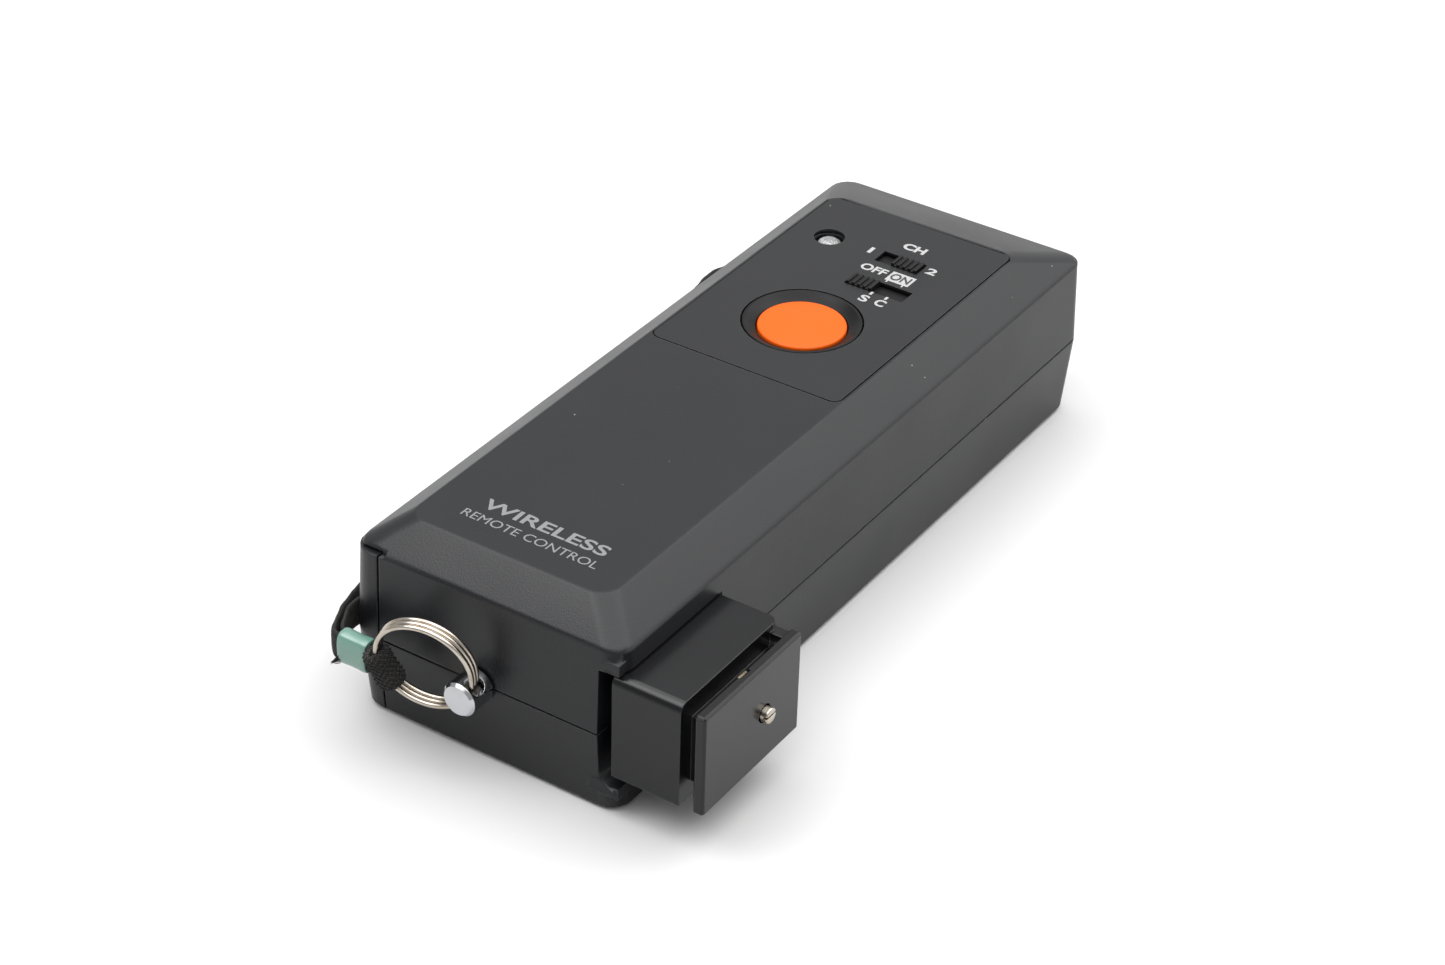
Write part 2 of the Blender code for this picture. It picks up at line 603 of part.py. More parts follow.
def make_panel(finish):
    ring = case_ring(CASE_HEIGHT, PANEL_MARGIN)
    xs, ys = [p[0] for p in ring], [p[1] for p in ring]
    outline = rounded_outline(min(xs), max(xs), NEAR_Y + PANEL_NEAR, max(ys), PANEL_CORNER)
    panel = plate("control_panel", outline, PANEL_BASE, PANEL_TOP, finish)
    low, high = PANEL_BASE - 0.001, PANEL_TOP + 0.001
    by, ly = NEAR_Y + BUTTON_Y, NEAR_Y + LAMP_Y
    cut(panel, rod("panel_bezel_hole", BEZEL_RADIUS + GAP, (BUTTON_X, by, low), (BUTTON_X, by, high), steps=40))
    cut(panel, rod("panel_lamp_hole", LAMP_HOLE, (LAMP_X, ly, low), (LAMP_X, ly, high)))
    for name, x, y, steps, way in SWITCHES:
        x0, x1 = slot_span(x, steps, way, KNOB_LENGTH / 2 + GAP)
        cut(panel, box(f"{name}_slot", (x0, NEAR_Y + y - SLOT_WIDTH / 2, low),
                       (x1, NEAR_Y + y + SLOT_WIDTH / 2, high)))
    return panel


def make_slider(name, x, y, steps, finish):
    """Ribbed knob, cover plate and stem of a slide switch, in one piece."""
    y = NEAR_Y + y
    half = cover_half(steps)
    wide = SLOT_WIDTH / 2 + 0.0010
    plate_top = PANEL_TOP - SLOT_DEPTH
    slider = box(f"{name}_slider", (x - half, y - wide, plate_top - COVER_THICKNESS),
                 (x + half, y + wide, plate_top), finish)
    knob = box(f"{name}_knob", (x - KNOB_LENGTH / 2, y - KNOB_WIDTH / 2, plate_top - 0.0003),
               (x + KNOB_LENGTH / 2, y + KNOB_WIDTH / 2, PANEL_TOP + KNOB_RISE))
    stem = box(f"{name}_stem", (x - STEM_HALF, y - STEM_HALF, SWITCH_TOP - 0.0016),
               (x + STEM_HALF, y + STEM_HALF, plate_top - 0.0003))
    join(slider, knob, stem)
    pitch = KNOB_LENGTH / (KNOB_RIBS + 0.5)
    for k in range(KNOB_RIBS):
        left = x - KNOB_LENGTH / 2 + pitch * (k + 0.5)
        groove = box(f"{name}_groove_{k}", (left, y - KNOB_WIDTH, PANEL_TOP + KNOB_RISE - 0.0004),
                     (left + pitch / 2, y + KNOB_WIDTH, PANEL_TOP + KNOB_RISE + 0.001))
        cut(slider, groove)
    return slider


def make_switch_body(name, x, y, steps, way, finish):
    y = NEAR_Y + y
    x0, x1 = slot_span(x, steps, way, KNOB_LENGTH / 2)
    body = box(f"{name}_switch", (x0, y - SWITCH_HALF, BOARD_TOP + GAP), (x1, y + SWITCH_HALF, SWITCH_TOP),
               finish)
    room = STEM_HALF + SLIDE_GAP
    s0, s1 = slot_span(x, steps, way, room)
    track = box(f"{name}_track", (s0, y - room, SWITCH_TOP - 0.0022), (s1, y + room, SWITCH_TOP + 0.001))
    return cut(body, track)


def make_bezel(finish):
    base = (BUTTON_X, NEAR_Y + BUTTON_Y, PANEL_TOP)
    bore = BUTTON_RADIUS + SLIDE_GAP / 2
    body = turned("button_bezel", ((BEZEL_RADIUS, -BEZEL_DEPTH), (BEZEL_RADIUS, 0.0)), base, (0, 0, 1), finish, 40)
    throat = turned("bezel_throat", ((bore, -BEZEL_DEPTH - 0.001), (bore, -BUTTON_SINK - 0.0004),
                                     (BEZEL_MOUTH, 0.0), (BEZEL_MOUTH, 0.001)), base, (0, 0, 1), steps=40)
    return cut(body, throat)


def make_button(finish):
    rim = -BUTTON_SINK
    low = -BEZEL_DEPTH - GAP
    bowl = [(BUTTON_RADIUS * (1 - (i / 5) ** 2) ** 0.5, rim + BUTTON_DOME * i / 5) for i in range(1, 5)]
    profile = [(BUTTON_STEM, low - BUTTON_FLANGE - 0.0016), (BUTTON_STEM, low - BUTTON_FLANGE),
               (BUTTON_RADIUS + 0.0008, low - BUTTON_FLANGE), (BUTTON_RADIUS + 0.0008, low), (BUTTON_RADIUS, low),
               (BUTTON_RADIUS, rim - 0.0003), (BUTTON_RADIUS - 0.0002, rim)]
    crown = [(r, h) for r, h in bowl if r < BUTTON_RADIUS - 0.0003]
    return turned("release_button", profile + crown + [(0.0005, rim + BUTTON_DOME)],
                  (BUTTON_X, NEAR_Y + BUTTON_Y, PANEL_TOP), (0, 0, 1), finish, 36)


def make_release_switch(finish):
    """The push switch under the button; its plunger stands clear of the stem by the button's travel."""
    y = NEAR_Y + BUTTON_Y
    stem_low = PANEL_TOP - BEZEL_DEPTH - GAP - BUTTON_FLANGE - 0.0016
    top = stem_low - BUTTON_TRAVEL - GAP
    body = box("release_switch", (BUTTON_X - 0.0030, y - 0.0030, BOARD_TOP + GAP),
               (BUTTON_X + 0.0030, y + 0.0030, top - 0.0004), finish)
    return join(body, rod("switch_plunger", 0.0012, (BUTTON_X, y, BOARD_TOP + 0.001), (BUTTON_X, y, top), steps=16))


def make_button_spring(finish):
    low = BOARD_TOP + GAP
    high = PANEL_TOP - BEZEL_DEPTH - GAP - BUTTON_FLANGE - GAP
    return coil("button_spring", 0.0058, SPRING_WIRE, 3, (BUTTON_X, NEAR_Y + BUTTON_Y, low), (0, 0, 1), high - low,
                finish, 12)


def make_lamp(finish):
    crown = [(LAMP_RADIUS * math.cos(a), LAMP_RADIUS * 0.8 * math.sin(a))
             for a in (math.radians(15 * i) for i in range(1, 6))]
    top = PANEL_TOP - 0.0023
    low = BOARD_TOP + GAP
    profile = [(LAMP_RADIUS + 0.0003, 0.0), (LAMP_RADIUS + 0.0003, 0.001), (LAMP_RADIUS, 0.001),
               (LAMP_RADIUS, top - low)]
    profile += [(r, top - low + h) for r, h in crown] + [(0.0003, top - low + LAMP_RADIUS * 0.8)]
    return turned("lamp_lens", profile, (LAMP_X, NEAR_Y + LAMP_Y, low), (0, 0, 1), finish, 24)


# Electronics


def make_board(finish):
    return box("circuit_board", (-BOARD_WIDTH / 2, NEAR_Y + BOARD_NEAR, BOARD_HEIGHT),
               (BOARD_WIDTH / 2, NEAR_Y + BOARD_FAR, BOARD_TOP), finish)


def make_components(chip, can, film):
    under = BOARD_HEIGHT - GAP
    y = NEAR_Y + BOARD_NEAR
    box("driver_chip", (-0.0095, y + 0.020, under - 0.0032), (0.0095, y + 0.0262, under), chip, 0.0003)
    box("crystal", (-0.0150, y + 0.034, under - 0.0034), (-0.0115, y + 0.045, under), can, 0.0004)
    rod("capacitor", 0.0040, (0.0120, y + 0.040, under - 0.0110), (0.0120, y + 0.040, under), film, 20)


def make_emitters(finish):
    y = NEAR_Y + BOARD_FAR + GAP
    front = FAR_Y - WINDOW_THICKNESS - 0.0016
    for side, name in ((-1, "left"), (1, "right")):
        dome = [(EMITTER_RADIUS * math.cos(a), EMITTER_RADIUS * math.sin(a))
                for a in (math.radians(18 * i) for i in range(1, 5))]
        long = front - EMITTER_RADIUS - y
        profile = [(EMITTER_RADIUS + 0.0004, 0.0), (EMITTER_RADIUS + 0.0004, 0.001), (EMITTER_RADIUS, 0.001),
                   (EMITTER_RADIUS, long)]
        profile += [(r, long + h) for r, h in dome] + [(0.0004, long + EMITTER_RADIUS)]
        turned(f"infrared_emitter_{name}", profile, (side * EMITTER_SPREAD / 2, y, BOARD_HEIGHT + 0.0008),
               (0, 1, 0), finish, 16)


def make_window(finish):
    back = FAR_Y - WALL - 0.0004
    face = FAR_Y - 0.0007
    low, high = WINDOW_BASE + GAP, WINDOW_BASE + WINDOW_HEIGHT - GAP
    return box("emitter_window", (-WINDOW_WIDTH / 2 + GAP, back, low), (WINDOW_WIDTH / 2 - GAP, face, high), finish)


# Batteries


def cell_places():
    x = -SIDE_X + CELL_LEFT + CELL_RADIUS
    z = CELL_LOW + CELL_RADIUS
    return [(x + column * CELL_PITCH, z + row * CELL_PITCH, column) for column in (0, 1) for row in (0, 1)]


def cell_span():
    """Where the cells' cases start and end along Y, between the two pairs of contacts."""
    near = NEAR_Y + CRADLE_NEAR + CRADLE_WALL + GAP + CONTACT_THICKNESS + GAP
    return near, near + SPRING_ROOM + GAP + CELL_BODY + CELL_TIP + GAP


def make_cells(jacket, spring_finish):
    near, far = cell_span()
    for number, (x, z, column) in enumerate(cell_places(), 1):
        way = 1 if column == 0 else -1
        start = near if way == 1 else far
        bottom = start + way * (SPRING_ROOM + GAP)
        profile = ((CELL_RADIUS - 0.0004, 0.0), (CELL_RADIUS, 0.0004), (CELL_RADIUS, CELL_BODY - 0.0005),
                   (CELL_RADIUS - 0.0005, CELL_BODY), (CELL_TIP_RADIUS, CELL_BODY),
                   (CELL_TIP_RADIUS, CELL_BODY + CELL_TIP))
        turned(f"battery_{number}", profile, (x, bottom, z), (0, way, 0), jacket, 20)
        coil(f"battery_spring_{number}", 0.0024, SPRING_WIRE, 3, (x, start, z), (0, way, 0), SPRING_ROOM,
             spring_finish)


def make_contacts(finish):
    near, far = cell_span()
    xs = [x for x, _, _ in cell_places()]
    z0, z1 = CELL_LOW + 0.0015, CELL_LOW + CELL_PITCH + 2 * CELL_RADIUS - 0.0015
    for name, y, way in (("near", near, -1), ("far", far, 1)):
        for side, x in (("left", xs[0]), ("right", xs[-1])):
            ys = sorted((y + way * GAP, y + way * (GAP + CONTACT_THICKNESS)))
            box(f"{name}_contact_{side}", (x - 0.0055, ys[0], z0), (x + 0.0055, ys[1], z1), finish)


def make_cradle(finish):
    """The battery compartment: a wall at each end and one beside the cells."""
    near, far = cell_span()
    y0 = NEAR_Y + CRADLE_NEAR
    y1 = far + GAP + CONTACT_THICKNESS + GAP + CRADLE_WALL
    x1 = -SIDE_X + CELL_LEFT + CELL_PITCH + 2 * CELL_RADIUS + SLIDE_GAP + CRADLE_WALL
    z0, z1 = WALL + GAP, BEVEL_HEIGHT
    x0 = -SIDE_X + SIDE_BEVEL + 0.0010
    cradle = box("battery_cradle", (x0, y0, z0), (x1, y1, z1), finish)
    room = box("cradle_room", (x0 - 0.002, y0 + CRADLE_WALL, z0 - 0.001),
               (x1 - CRADLE_WALL, y1 - CRADLE_WALL, z1 + 0.001))
    return cut(cradle, room)


# Shoe adapter


def rail_holes(shell, name):
    """Two screw holes in the pocket's back wall, on the rail's middle line."""
    for k, y in enumerate(rail_screw_places()):
        x = SIDE_X - POCKET_DEPTH
        cut(shell, rod(f"{name}_rail_hole_{k}", RAIL_SCREW + GAP, (x - 0.004, y, SHOE_Z), (x + 0.001, y, SHOE_Z),
                       steps=12))


def rail_screw_places():
    first = NEAR_Y + RAIL_START + 0.0060
    return first, NEAR_Y + POCKET_LENGTH - 0.0060


def make_rail(finish):
    """A T-shaped rail on the back of the pocket, which the block slides onto from the near end."""
    x = SIDE_X - POCKET_DEPTH + GAP
    y0, y1 = NEAR_Y + RAIL_START, NEAR_Y + POCKET_LENGTH - 0.0010
    head = SIDE_X - BLOCK_BACK + RAIL_LIP + SLIDE_GAP
    rail = box("shoe_rail", (x, y0, SHOE_Z - RAIL_NECK / 2), (head + 0.0005, y1, SHOE_Z + RAIL_NECK / 2), finish)
    return join(rail, box("rail_head", (head, y0, SHOE_Z - RAIL_HEAD / 2),
                          (head + RAIL_HEAD_THICKNESS, y1, SHOE_Z + RAIL_HEAD / 2)))


def make_rail_screws(finish):
    x = SIDE_X - POCKET_DEPTH
    head_x = x - WALL - GAP
    for number, y in enumerate(rail_screw_places(), 1):
        profile = ((RAIL_SCREW_HEAD, 0.0), (RAIL_SCREW_HEAD, 0.0012), (RAIL_SCREW, 0.0012),
                   (RAIL_SCREW, 0.0012 + GAP + WALL + 0.0024))
        screw = turned(f"rail_screw_{number}", profile, (head_x - 0.0012, y, SHOE_Z), (1, 0, 0), finish, 16)
        cut(screw, box(f"rail_screw_slot_{number}", (head_x - 0.0022, y - 0.003, SHOE_Z - 0.0002),
                       (head_x - 0.0007, y + 0.003, SHOE_Z + 0.0002)))
    rail = bpy.data.objects["shoe_rail"]
    for k, y in enumerate(rail_screw_places()):
        cut(rail, rod(f"rail_thread_{k}", RAIL_SCREW + GAP, (x - 0.001, y, SHOE_Z), (x + 0.0034, y, SHOE_Z),
                      steps=12))


def make_block(finish):
    """Block and foot in one: a standard foot whose grooves end at a stop."""
    x0 = SIDE_X - BLOCK_BACK
    bm = bmesh.new()
    low, high = Vector((x0, BLOCK_NEAR, BLOCK_LOW)), Vector((BLOCK_FACE, BLOCK_FAR, BLOCK_TOP))
    bmesh.ops.create_cube(bm, size=1.0,
                          matrix=Matrix.Translation((low + high) / 2) @ Matrix.Diagonal((*(high - low), 1.0)))
    near_top = [e for e in bm.edges if all(v.co.y < low.y + 1e-5 and v.co.z > high.z - 1e-5 for v in e.verts)]
    far_outer = [e for e in bm.edges if all(v.co.y > high.y - 1e-5 and v.co.x > high.x - 1e-5 for v in e.verts)]
    bmesh.ops.bevel(bm, geom=near_top + far_outer, offset=BLOCK_EDGE, segments=3, affect="EDGES", profile=0.5)
    block = add("shoe_block", bm, finish)
    foot_z = (SHOE_Z - SHOE_WIDTH / 2, SHOE_Z + SHOE_WIDTH / 2)
    foot = box("foot_plate", (BLOCK_FACE + SHOE_GROOVE, BLOCK_NEAR - 0.0001, foot_z[0]),
               (SHOE_FACE, BLOCK_FAR - 0.0002, foot_z[1]), None, 0.0004)
    neck = box("foot_neck", (BLOCK_FACE - 0.001, BLOCK_NEAR + 0.0030, SHOE_Z - SHOE_NECK / 2),
               (BLOCK_FACE + SHOE_GROOVE + 0.001, BLOCK_FAR - 0.0010, SHOE_Z + SHOE_NECK / 2))
    stop = box("foot_stop", (BLOCK_FACE - 0.001, BLOCK_FAR - SHOE_STOP, foot_z[0] + 0.0006),
               (BLOCK_FACE + SHOE_GROOVE + 0.001, BLOCK_FAR - 0.0006, foot_z[1] - 0.0006))
    join(block, neck, stop, foot)
    y0 = NEAR_Y + RAIL_START - SLIDE_GAP
    throat = box("rail_throat", (x0 - 0.001, y0, SHOE_Z - RAIL_NECK / 2 - SLIDE_GAP),
                 (x0 + RAIL_LIP + 0.001, BLOCK_FAR + 0.001, SHOE_Z + RAIL_NECK / 2 + SLIDE_GAP))
    room = box("rail_room", (x0 + RAIL_LIP, y0, SHOE_Z - RAIL_HEAD / 2 - SLIDE_GAP),
               (x0 + RAIL_LIP + RAIL_HEAD_THICKNESS + 2 * SLIDE_GAP, BLOCK_FAR + 0.001,
                SHOE_Z + RAIL_HEAD / 2 + SLIDE_GAP))
    pin_y = NEAR_Y + PIN_Y
    step_x = PIN_BACK + PIN_ROOM
    bore = rod("pin_bore", PIN_RADIUS + GAP, (step_x, pin_y, SHOE_Z), (SHOE_FACE + 0.001, pin_y, SHOE_Z))
    wide = rod("pin_chamber", PIN_COLLAR + GAP, (PIN_BACK, pin_y, SHOE_Z), (step_x + 0.0001, pin_y, SHOE_Z))
    seat_x, seat_y = BLOCK_FACE + SHOE_GROOVE, NEAR_Y + EARTH_Y
    earth = box("earth_seat", (seat_x - 0.0005, seat_y - EARTH_WIDTH / 2 - GAP, foot_z[1] - 0.0016),
                (seat_x + 0.0008, seat_y + EARTH_WIDTH / 2 + GAP, foot_z[1] + 0.001))
    return cut(block, throat, room, bore, wide, earth)


def make_contact_pin(finish):
    y = NEAR_Y + PIN_Y
    start = PIN_BACK + PIN_ROOM - GAP - PIN_COLLAR_THICKNESS
    front = SHOE_FACE + PIN_RISE - start
    profile = ((PIN_COLLAR, 0.0), (PIN_COLLAR, PIN_COLLAR_THICKNESS), (PIN_RADIUS, PIN_COLLAR_THICKNESS),
               (PIN_RADIUS, front - 0.0004), (PIN_RADIUS - 0.0003, front))
    pin = turned("sync_contact_pin", profile, (start, y, SHOE_Z), (1, 0, 0), finish, 24)
    end = start + front
    return cut(pin, box("pin_slot", (end - 0.0006, y - 0.003, SHOE_Z - PIN_SLOT / 2 + 0.0003),
                        (end + 0.001, y + 0.003, SHOE_Z + PIN_SLOT / 2 + 0.0003)))


def make_contact_spring(finish):
    start = PIN_BACK + GAP
    length = PIN_ROOM - PIN_COLLAR_THICKNESS - 3 * GAP
    return coil("contact_spring", 0.0012, 0.0002, 4, (start, NEAR_Y + PIN_Y, SHOE_Z), (1, 0, 0),
                length - PIN_TRAVEL - GAP, finish)


def make_earth_contact(finish):
    y = NEAR_Y + EARTH_Y
    x = BLOCK_FACE + SHOE_GROOVE
    top = SHOE_Z + SHOE_WIDTH / 2
    return box("earth_contact", (x - 0.0002, y - EARTH_WIDTH / 2, top - 0.0013),
               (x + 0.0005, y + EARTH_WIDTH / 2, top - 0.0002), finish, 0.0002)


# Strap


def make_post(finish):
    tail, end = POST_TAIL + GAP, POST_TAIL + POST_RISE
    profile = ((POST_SHANK, 0.0), (POST_SHANK, tail), (POST_RADIUS, tail), (POST_RADIUS, end - POST_BEVEL),
               (POST_RADIUS - POST_BEVEL, end))
    post = turned("strap_post", profile, (POST_X, NEAR_Y + POST_TAIL, SEAM_HEIGHT), (0, -1, 0), finish, 32)
    reach = RING_AXIS * 0.006
    hole = rod("post_cross_hole", POST_HOLE, POST_HOLE_PLACE - reach, POST_HOLE_PLACE + reach)
    return cut(post, hole)


def make_nut(finish):
    y = NEAR_Y + WALL + 2 * GAP
    nut = turned("post_nut", ((NUT_RADIUS, 0.0), (NUT_RADIUS, NUT_THICKNESS)), (POST_X, y, SEAM_HEIGHT), (0, 1, 0),
                 finish, 6)
    return cut(nut, rod("nut_thread", POST_SHANK + GAP, (POST_X, y - 0.001, SEAM_HEIGHT),
                        (POST_X, y + 0.003, SEAM_HEIGHT), steps=20))


def ring_frame():
    """The ring's centre, the way from the post's hole to it, and the ring's own axis."""
    out = Vector((-math.cos(LEAN), RING_LEAN, math.sin(LEAN))).normalized()
    centre = POST_HOLE_PLACE + out * (RING_RADIUS - RING_SLACK)
    return centre, out, out.cross(RING_AXIS).normalized()


def make_ring(finish):
    """The split ring through the post; its two touching turns of wire are one hoop here."""
    return hoop("split_ring", 0.0, finish)


def upright_ring(point, way, wide, thick, edge):
    """A flat section that stands on its edge, square to the way that it runs."""
    side = Vector((0, 0, 1)).cross(way).normalized()
    up = way.cross(side).normalized()
    return [point + side * x + up * y
            for x, y in rounded_outline(-thick / 2, thick / 2, -wide / 2, wide / 2, edge, 2)]


def eye_place():
    """The middle of the cord's fold, on the ring's wire."""
    centre, out, _ = ring_frame()
    turn = math.radians(EYE_ANGLE)
    return centre + RING_RADIUS * (math.cos(turn) * out - math.sin(turn) * RING_AXIS)


def sleeve_middle():
    """The sleeve stands clear of the eye, and far enough out for the cord to pass the case's side."""
    eye = eye_place()
    x = min(eye.x - SLEEVE_FROM_EYE, SLEEVE_FROM_SIDE - SIDE_X)
    return Vector((x, eye.y + SLEEVE_Y, SLEEVE_Z))


def make_strap_eye(finish):
    """The cord's fold round the ring, with the bore that the ring passes through."""
    _, out, _ = ring_frame()
    turn = math.radians(EYE_ANGLE)
    on_ring = eye_place()
    along = (math.sin(turn) * out + math.cos(turn) * RING_AXIS).normalized()
    half = EYE_WIDTH / 2
    profile = ((EYE_RADIUS - 0.0006, 0.0), (EYE_RADIUS, 0.0006), (EYE_RADIUS, EYE_WIDTH - 0.0006),
               (EYE_RADIUS - 0.0006, EYE_WIDTH))
    eye = turned("strap_eye", profile, on_ring - along * half, along, finish, 20)
    end = sleeve_middle() + Vector((SLEEVE_LENGTH / 2 + GAP, 0, 0))
    root = Vector((on_ring.x + EYE_RADIUS * 0.3, on_ring.y + 0.0004, on_ring.z))
    bm = bmesh.new()
    loft(bm, [upright_ring(end, Vector((1, 0, 0)), SLEEVE_HEIGHT - 0.0008, SLEEVE_DEPTH - 0.0006, 0.0006),
              upright_ring(root, Vector((1, 0, 0)), EYE_WIDTH - 0.0010, SLEEVE_DEPTH - 0.0008, 0.0006)])
    neck = add("eye_neck", bm)
    join(eye, neck)
    return cut(eye, hoop("ring_room", GAP))


def make_sleeve(finish):
    """The short tube that grips the cord, flattened."""
    bm = bmesh.new()
    middle, way = sleeve_middle(), Vector((1, 0, 0))
    loft(bm, [upright_ring(middle + way * SLEEVE_LENGTH * step, way, SLEEVE_HEIGHT, SLEEVE_DEPTH, 0.0015)
              for step in (-0.5, 0.5)])
    return add("strap_sleeve", bm, finish)


def make_strap(finish):
    middle = sleeve_middle()
    route = [(middle.x + x, middle.y + y, z) for x, y, z in STRAP_ROUTE]
    points = smooth_route(route, STRAP_STEPS)
    ways = [(after - before).normalized() for before, after in zip(points, points[1:])]
    ways = [Vector((-1, 0, 0))] + [(a + b).normalized() for a, b in zip(ways, ways[1:])] + [Vector((1, 0, 0))]
    bm = bmesh.new()
    loft(bm, [flat_ring(point, way) for point, way in zip(points, ways)])
    return add("strap_loop", bm, finish)


def flat_ring(point, way):
    """The cord's section, on its edge, square to the way that it runs."""
    level = Vector((way.x, way.y, 0)).normalized()
    side = Vector((0, 0, 1)).cross(level) * STRAP_THICKNESS / 2
    up = Vector((0, 0, STRAP_WIDTH / 2))
    return [point - side - up, point + side - up, point + side + up, point - side + up]


def main():
    for old in list(bpy.data.objects):
        bpy.data.objects.remove(old, do_unlink=True)
    case = material("case_plastic", (0.035, 0.036, 0.038), 0.42)
    panel = material("panel_sheet", (0.030, 0.031, 0.033), 0.45)
    orange = material("button_orange", (0.95, 0.22, 0.02), 0.35)
    knob = material("knob_plastic", (0.02, 0.02, 0.022), 0.5)
    clear = material("clear_lens", (0.85, 0.88, 0.88), 0.05, 0.0, 0.9)
    dark_red = material("infrared_window", (0.03, 0.004, 0.006), 0.1)
    chrome = material("chrome", (0.82, 0.84, 0.86), 0.08, 1.0)
    nickel = material("nickel_wire", (0.72, 0.68, 0.60), 0.2, 1.0)
    steel = material("steel", (0.6, 0.6, 0.6), 0.3, 1.0)
    green = material("circuit_board", (0.02, 0.16, 0.06), 0.5)
    jacket = material("battery_jacket", (0.10, 0.10, 0.11), 0.35, 0.3)
    cord = material("black_cord", (0.015, 0.015, 0.015), 0.9)
    vinyl = material("green_vinyl", (0.30, 0.62, 0.48), 0.3)

    make_upper_shell(case)
    make_lower_shell(case)
    make_door(case)
    for number, (x, y) in enumerate(CASE_SCREWS, 1):
        case_screw(number, x, y, steel)
    make_panel(panel)
    make_bezel(knob)
    make_button(orange)
    make_button_spring(steel)
    make_release_switch(knob)
    for name, x, y, steps, way in SWITCHES:
        make_slider(name, x, y, steps, knob)
        make_switch_body(name, x, y, steps, way, steel)
    make_lamp(clear)
    make_board(green)
    make_components(knob, steel, jacket)
    make_emitters(dark_red)
    make_window(dark_red)
    make_cells(jacket, steel)
    make_contacts(nickel)
    make_cradle(knob)
    make_rail(knob)
    make_rail_screws(steel)
    make_block(case)
    make_contact_pin(nickel)
    make_contact_spring(steel)
    make_earth_contact(nickel)
    make_post(chrome)
    make_nut(steel)
    make_ring(nickel)
    make_strap_eye(cord)
    make_sleeve(vinyl)
    make_strap(cord)


main()
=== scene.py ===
# Hand-held infrared transmitter with a hot-shoe block, a split ring and a wrist strap.
# Metres, +Z up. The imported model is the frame, and every piece here sits on one of its bodies.
import math

import bmesh
import bpy
from mathutils import Matrix, Vector


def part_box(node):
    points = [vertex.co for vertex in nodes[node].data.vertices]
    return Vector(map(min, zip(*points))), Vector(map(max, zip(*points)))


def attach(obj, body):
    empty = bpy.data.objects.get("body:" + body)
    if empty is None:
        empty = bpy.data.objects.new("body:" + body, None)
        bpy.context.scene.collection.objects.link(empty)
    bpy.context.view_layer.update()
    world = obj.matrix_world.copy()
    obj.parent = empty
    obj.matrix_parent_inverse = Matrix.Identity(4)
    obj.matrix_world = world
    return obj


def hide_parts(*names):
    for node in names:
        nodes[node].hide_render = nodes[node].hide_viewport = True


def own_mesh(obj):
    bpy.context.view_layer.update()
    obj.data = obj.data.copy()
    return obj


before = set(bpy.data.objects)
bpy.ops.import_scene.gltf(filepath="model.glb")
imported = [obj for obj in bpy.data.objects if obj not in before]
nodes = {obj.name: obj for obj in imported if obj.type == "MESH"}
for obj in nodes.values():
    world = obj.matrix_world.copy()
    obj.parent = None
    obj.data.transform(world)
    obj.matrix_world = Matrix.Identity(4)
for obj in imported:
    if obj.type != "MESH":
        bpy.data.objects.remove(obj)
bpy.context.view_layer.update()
bpy.context.scene.view_settings.view_transform = "Standard"


# camera

cameraSet = {
    "target": (0.00002, -0.00611, 0.0156),
    "distance": 0.54266,
    "azimuth": 32.47,    # degrees from -Y towards +X
    "elevation": 34.15,
    "roll": 1.75,
    "lens": 80.2,
}


def placeCamera(setup):
    azimuth, elevation, roll = (math.radians(setup[k]) for k in ("azimuth", "elevation", "roll"))
    back = Vector((math.sin(azimuth) * math.cos(elevation), -math.cos(azimuth) * math.cos(elevation),
                   math.sin(elevation)))
    across = Vector((0, 0, 1)).cross(back).normalized()
    over = back.cross(across)
    right = math.cos(roll) * across + math.sin(roll) * over
    up = math.cos(roll) * over - math.sin(roll) * across
    place = Vector(setup["target"]) + back * setup["distance"]
    turn = Matrix((right, up, back)).transposed().to_4x4()
    bpy.ops.object.camera_add()
    camera = bpy.context.object
    camera.name = "viewCamera"
    camera.matrix_world = Matrix.Translation(place) @ turn
    camera.data.lens = setup["lens"]
    camera.data.sensor_width = 36.0
    camera.data.clip_start = 0.01
    camera.data.clip_end = 20.0
    bpy.context.scene.camera = camera
    return camera


placeCamera(cameraSet)


# small tools for modelling

def clearSelection():
    if bpy.context.object and bpy.context.object.mode != "OBJECT":
        bpy.ops.object.mode_set(mode="OBJECT")
    bpy.ops.object.select_all(action="DESELECT")


def makeActive(piece):
    clearSelection()
    piece.select_set(True)
    bpy.context.view_layer.objects.active = piece


def newPiece(name, points, edges=(), faces=()):
    mesh = bpy.data.meshes.new(name)
    mesh.from_pydata([tuple(p) for p in points], list(edges), list(faces))
    piece = bpy.data.objects.new(name, mesh)
    bpy.context.scene.collection.objects.link(piece)
    makeActive(piece)
    return piece


def applyAll(piece):
    makeActive(piece)
    for step in list(piece.modifiers):
        bpy.ops.object.modifier_apply(modifier=step.name)
    return piece


def smoothPiece(piece, degrees=32):
    makeActive(piece)
    bpy.ops.object.shade_smooth_by_angle(angle=math.radians(degrees))
    return piece


def softenEdges(piece, width, segments=2, degrees=30):
    bevel = piece.modifiers.new("soften", "BEVEL")
    bevel.width = width
    bevel.segments = segments
    bevel.limit_method = "ANGLE"
    bevel.angle_limit = math.radians(degrees)
    bevel.harden_normals = False
    return applyAll(piece)


